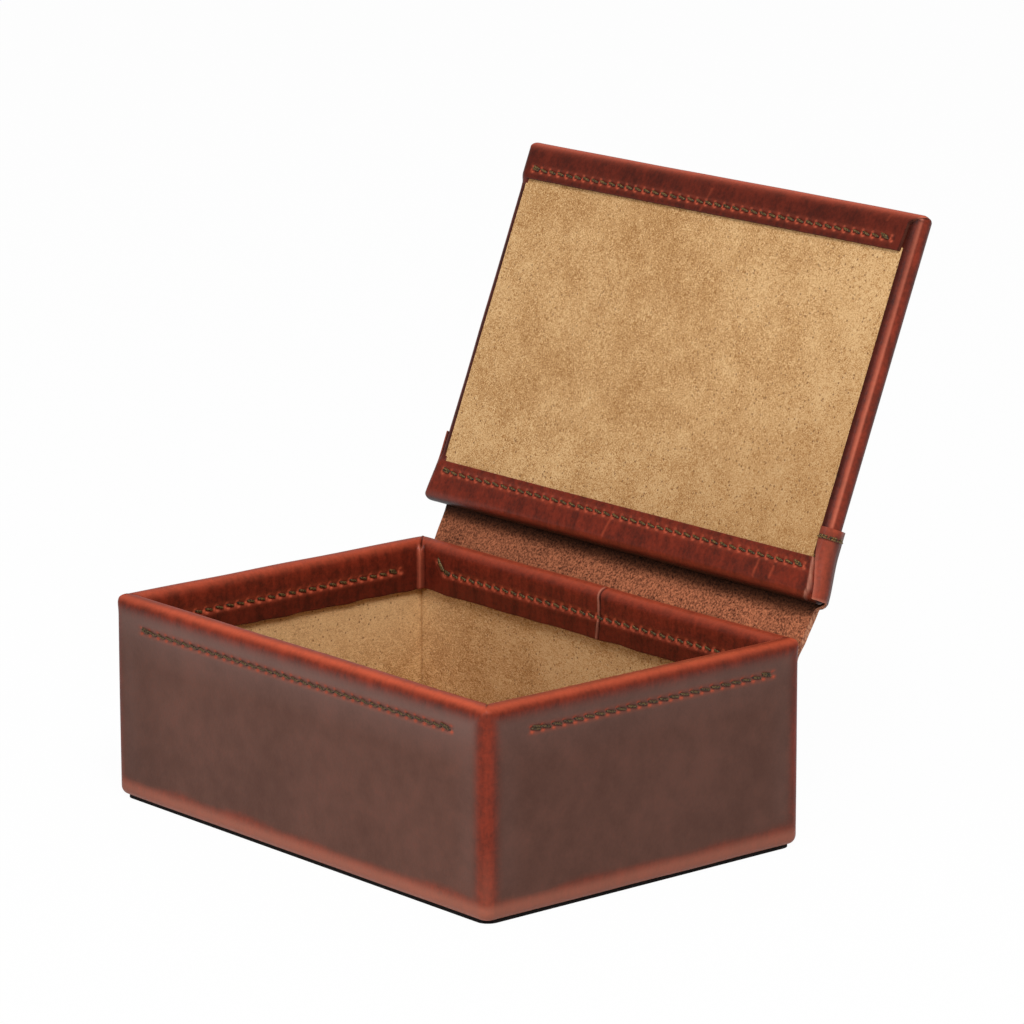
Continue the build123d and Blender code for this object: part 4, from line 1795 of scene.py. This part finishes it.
@dataclass
class Studio:
    """A pale floor, soft lights and the camera at the photograph's viewing angle."""

    azimuth: float = 49.503
    elevation: float = 13.24
    distance: float = 1.8459
    aim: tuple[float, float, float] = (0.0, 0.0, 0.060)
    shift_right: float = -0.020533
    shift_up: float = -0.04949
    focal_pixels: float = 5318.8
    sensor: float = 36.0
    floor_half: float = 6.0
    floor_tone: float = 0.88
    floor_glow: float = 0.97
    view_depth: float = 20.0
    world_light: float = 0.36

    @staticmethod
    def turned(made: bpy.types.Object, right: Array, back: Array, spot: Array) -> bpy.types.Object:
        """Stands a lamp or camera at a spot.

        Args:
            made: the lamp or camera.
            right: where its own x points.
            back: where its own z points, away from what it looks at.
            spot: where it stands.

        Returns:
            The same object.
        """
        matrix = np.eye(4)
        matrix[:3] = np.stack([right, np.cross(back, right), back, spot], axis=1)
        made.matrix_world = Matrix(matrix.tolist())
        return made

    def camera(self) -> None:
        """Places the camera by azimuth, elevation and distance, with the aim point off the image's middle."""
        turn, lift = math.radians(self.azimuth), math.radians(self.elevation)
        level = math.cos(lift)
        back = np.array([math.sin(turn) * level, -math.cos(turn) * level, math.sin(lift)])
        right = np.array([math.cos(turn), math.sin(turn), 0.0])
        up = np.cross(back, right)
        spot = np.array(self.aim) + back * self.distance - right * self.shift_right - up * self.shift_up
        data = bpy.data.cameras.new("camera")
        data.sensor_fit = "HORIZONTAL"
        data.sensor_width = self.sensor
        data.lens = self.focal_pixels / IMAGE_PIXELS * self.sensor
        data.clip_end = self.view_depth
        bpy.context.scene.camera = self.turned(linked("camera", data), right, back, spot)

    def lamp(self, name: str, spot: tuple[float, float, float], size: float, watts: float) -> None:
        """Adds a square soft light that looks at the box.

        Args:
            name: the lamp's name.
            spot: where it stands.
            size: its side.
            watts: its power.
        """
        data = bpy.data.lights.new(name, "AREA")
        data.shape = "SQUARE"
        data.size = size
        data.energy = watts
        back = np.array(spot) - np.array(self.aim)
        back = back / np.linalg.norm(back)
        right = np.cross(Z, back)
        self.turned(linked(name, data), right / np.linalg.norm(right), back, np.array(spot))

    def floor(self) -> None:
        """Adds a wide floor that the camera sees as white, with the object's shadow on it."""
        u = np.linspace(-self.floor_half, self.floor_half, 3)
        x, y = np.meshgrid(u, u, indexing="ij")
        mesh = bpy.data.meshes.new("floor")
        points = np.stack([x, y, np.zeros_like(x)], axis=-1).reshape(-1, 3)
        mesh.from_pydata(points.tolist(), [], grid_faces(3, 3)[:, ::-1].tolist())
        r = Recipe("white_floor")
        camera, glossy, passed = (
            r.node("ShaderNodeLightPath", {}, {}, name)
            for name in ("Is Camera Ray", "Is Glossy Ray", "Is Transmission Ray")
        )
        seen = (camera + glossy + passed).clamped()
        grey = (self.floor_tone, self.floor_tone, self.floor_tone, 1.0)
        lit = r.node("ShaderNodeBsdfDiffuse", {}, {"Color": grey})
        bright = r.node("ShaderNodeEmission", {}, {"Color": (1.0, 1.0, 1.0, 1.0), "Strength": 1.0})
        mixed = r.node("ShaderNodeMixShader", {}, {0: seen * self.floor_glow, 1: lit, 2: bright})
        mesh.materials.append(r.output(mixed))
        linked("floor", mesh)

    def world(self) -> None:
        """White to the camera, and a soft even light on the object."""
        world = bpy.data.worlds.new("studio")
        bpy.context.scene.world = world
        world.use_nodes = True
        tree = world.node_tree
        tree.nodes.clear()
        path = tree.nodes.new("ShaderNodeLightPath")
        level = tree.nodes.new("ShaderNodeMapRange")
        level.inputs["To Min"].default_value = self.world_light
        level.inputs["To Max"].default_value = 1.0
        background = tree.nodes.new("ShaderNodeBackground")
        background.inputs["Color"].default_value = (1.0, 1.0, 1.0, 1.0)
        output = tree.nodes.new("ShaderNodeOutputWorld")
        tree.links.new(path.outputs["Is Camera Ray"], level.inputs["Value"])
        tree.links.new(level.outputs[0], background.inputs["Strength"])
        tree.links.new(background.outputs[0], output.inputs["Surface"])

    def build(self) -> None:
        """Sets up the view, the floor and the lights."""
        bpy.context.scene.view_settings.view_transform = "Standard"
        self.camera()
        self.floor()
        self.world()
        self.lamp("key", (1.6, -1.0, 2.2), size=1.0, watts=60.0)
        self.lamp("fill", (0.3, -2.1, 0.9), size=0.7, watts=10.0)


def main() -> None:
    """Loads the frame, builds each part of the box in order, and reports the pieces."""
    logging.basicConfig(level=logging.INFO, format="%(name)s: %(message)s")
    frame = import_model()
    nodes = frame["nodes"]
    finishes = Finishes()
    body = BoxBody(finishes)
    place = LidPlace(body.top, body.half_y, frame["joints"][0])
    low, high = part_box("lid_cover")
    lid_half = (high.x - low.x) / 2
    lid = Lid(finishes, place, lid_half)
    hinge = HingeLeather(finishes, place, lid_half, body.half_y, body.rows()["rear_stitches"][0])
    Studio().build()
    for piece in body.build(nodes) + lid.build(nodes) + hinge.build():
        LOG.info("%s: %d faces", piece.name, len(piece.data.polygons))
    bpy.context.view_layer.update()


if __name__ == "__main__":
    main()
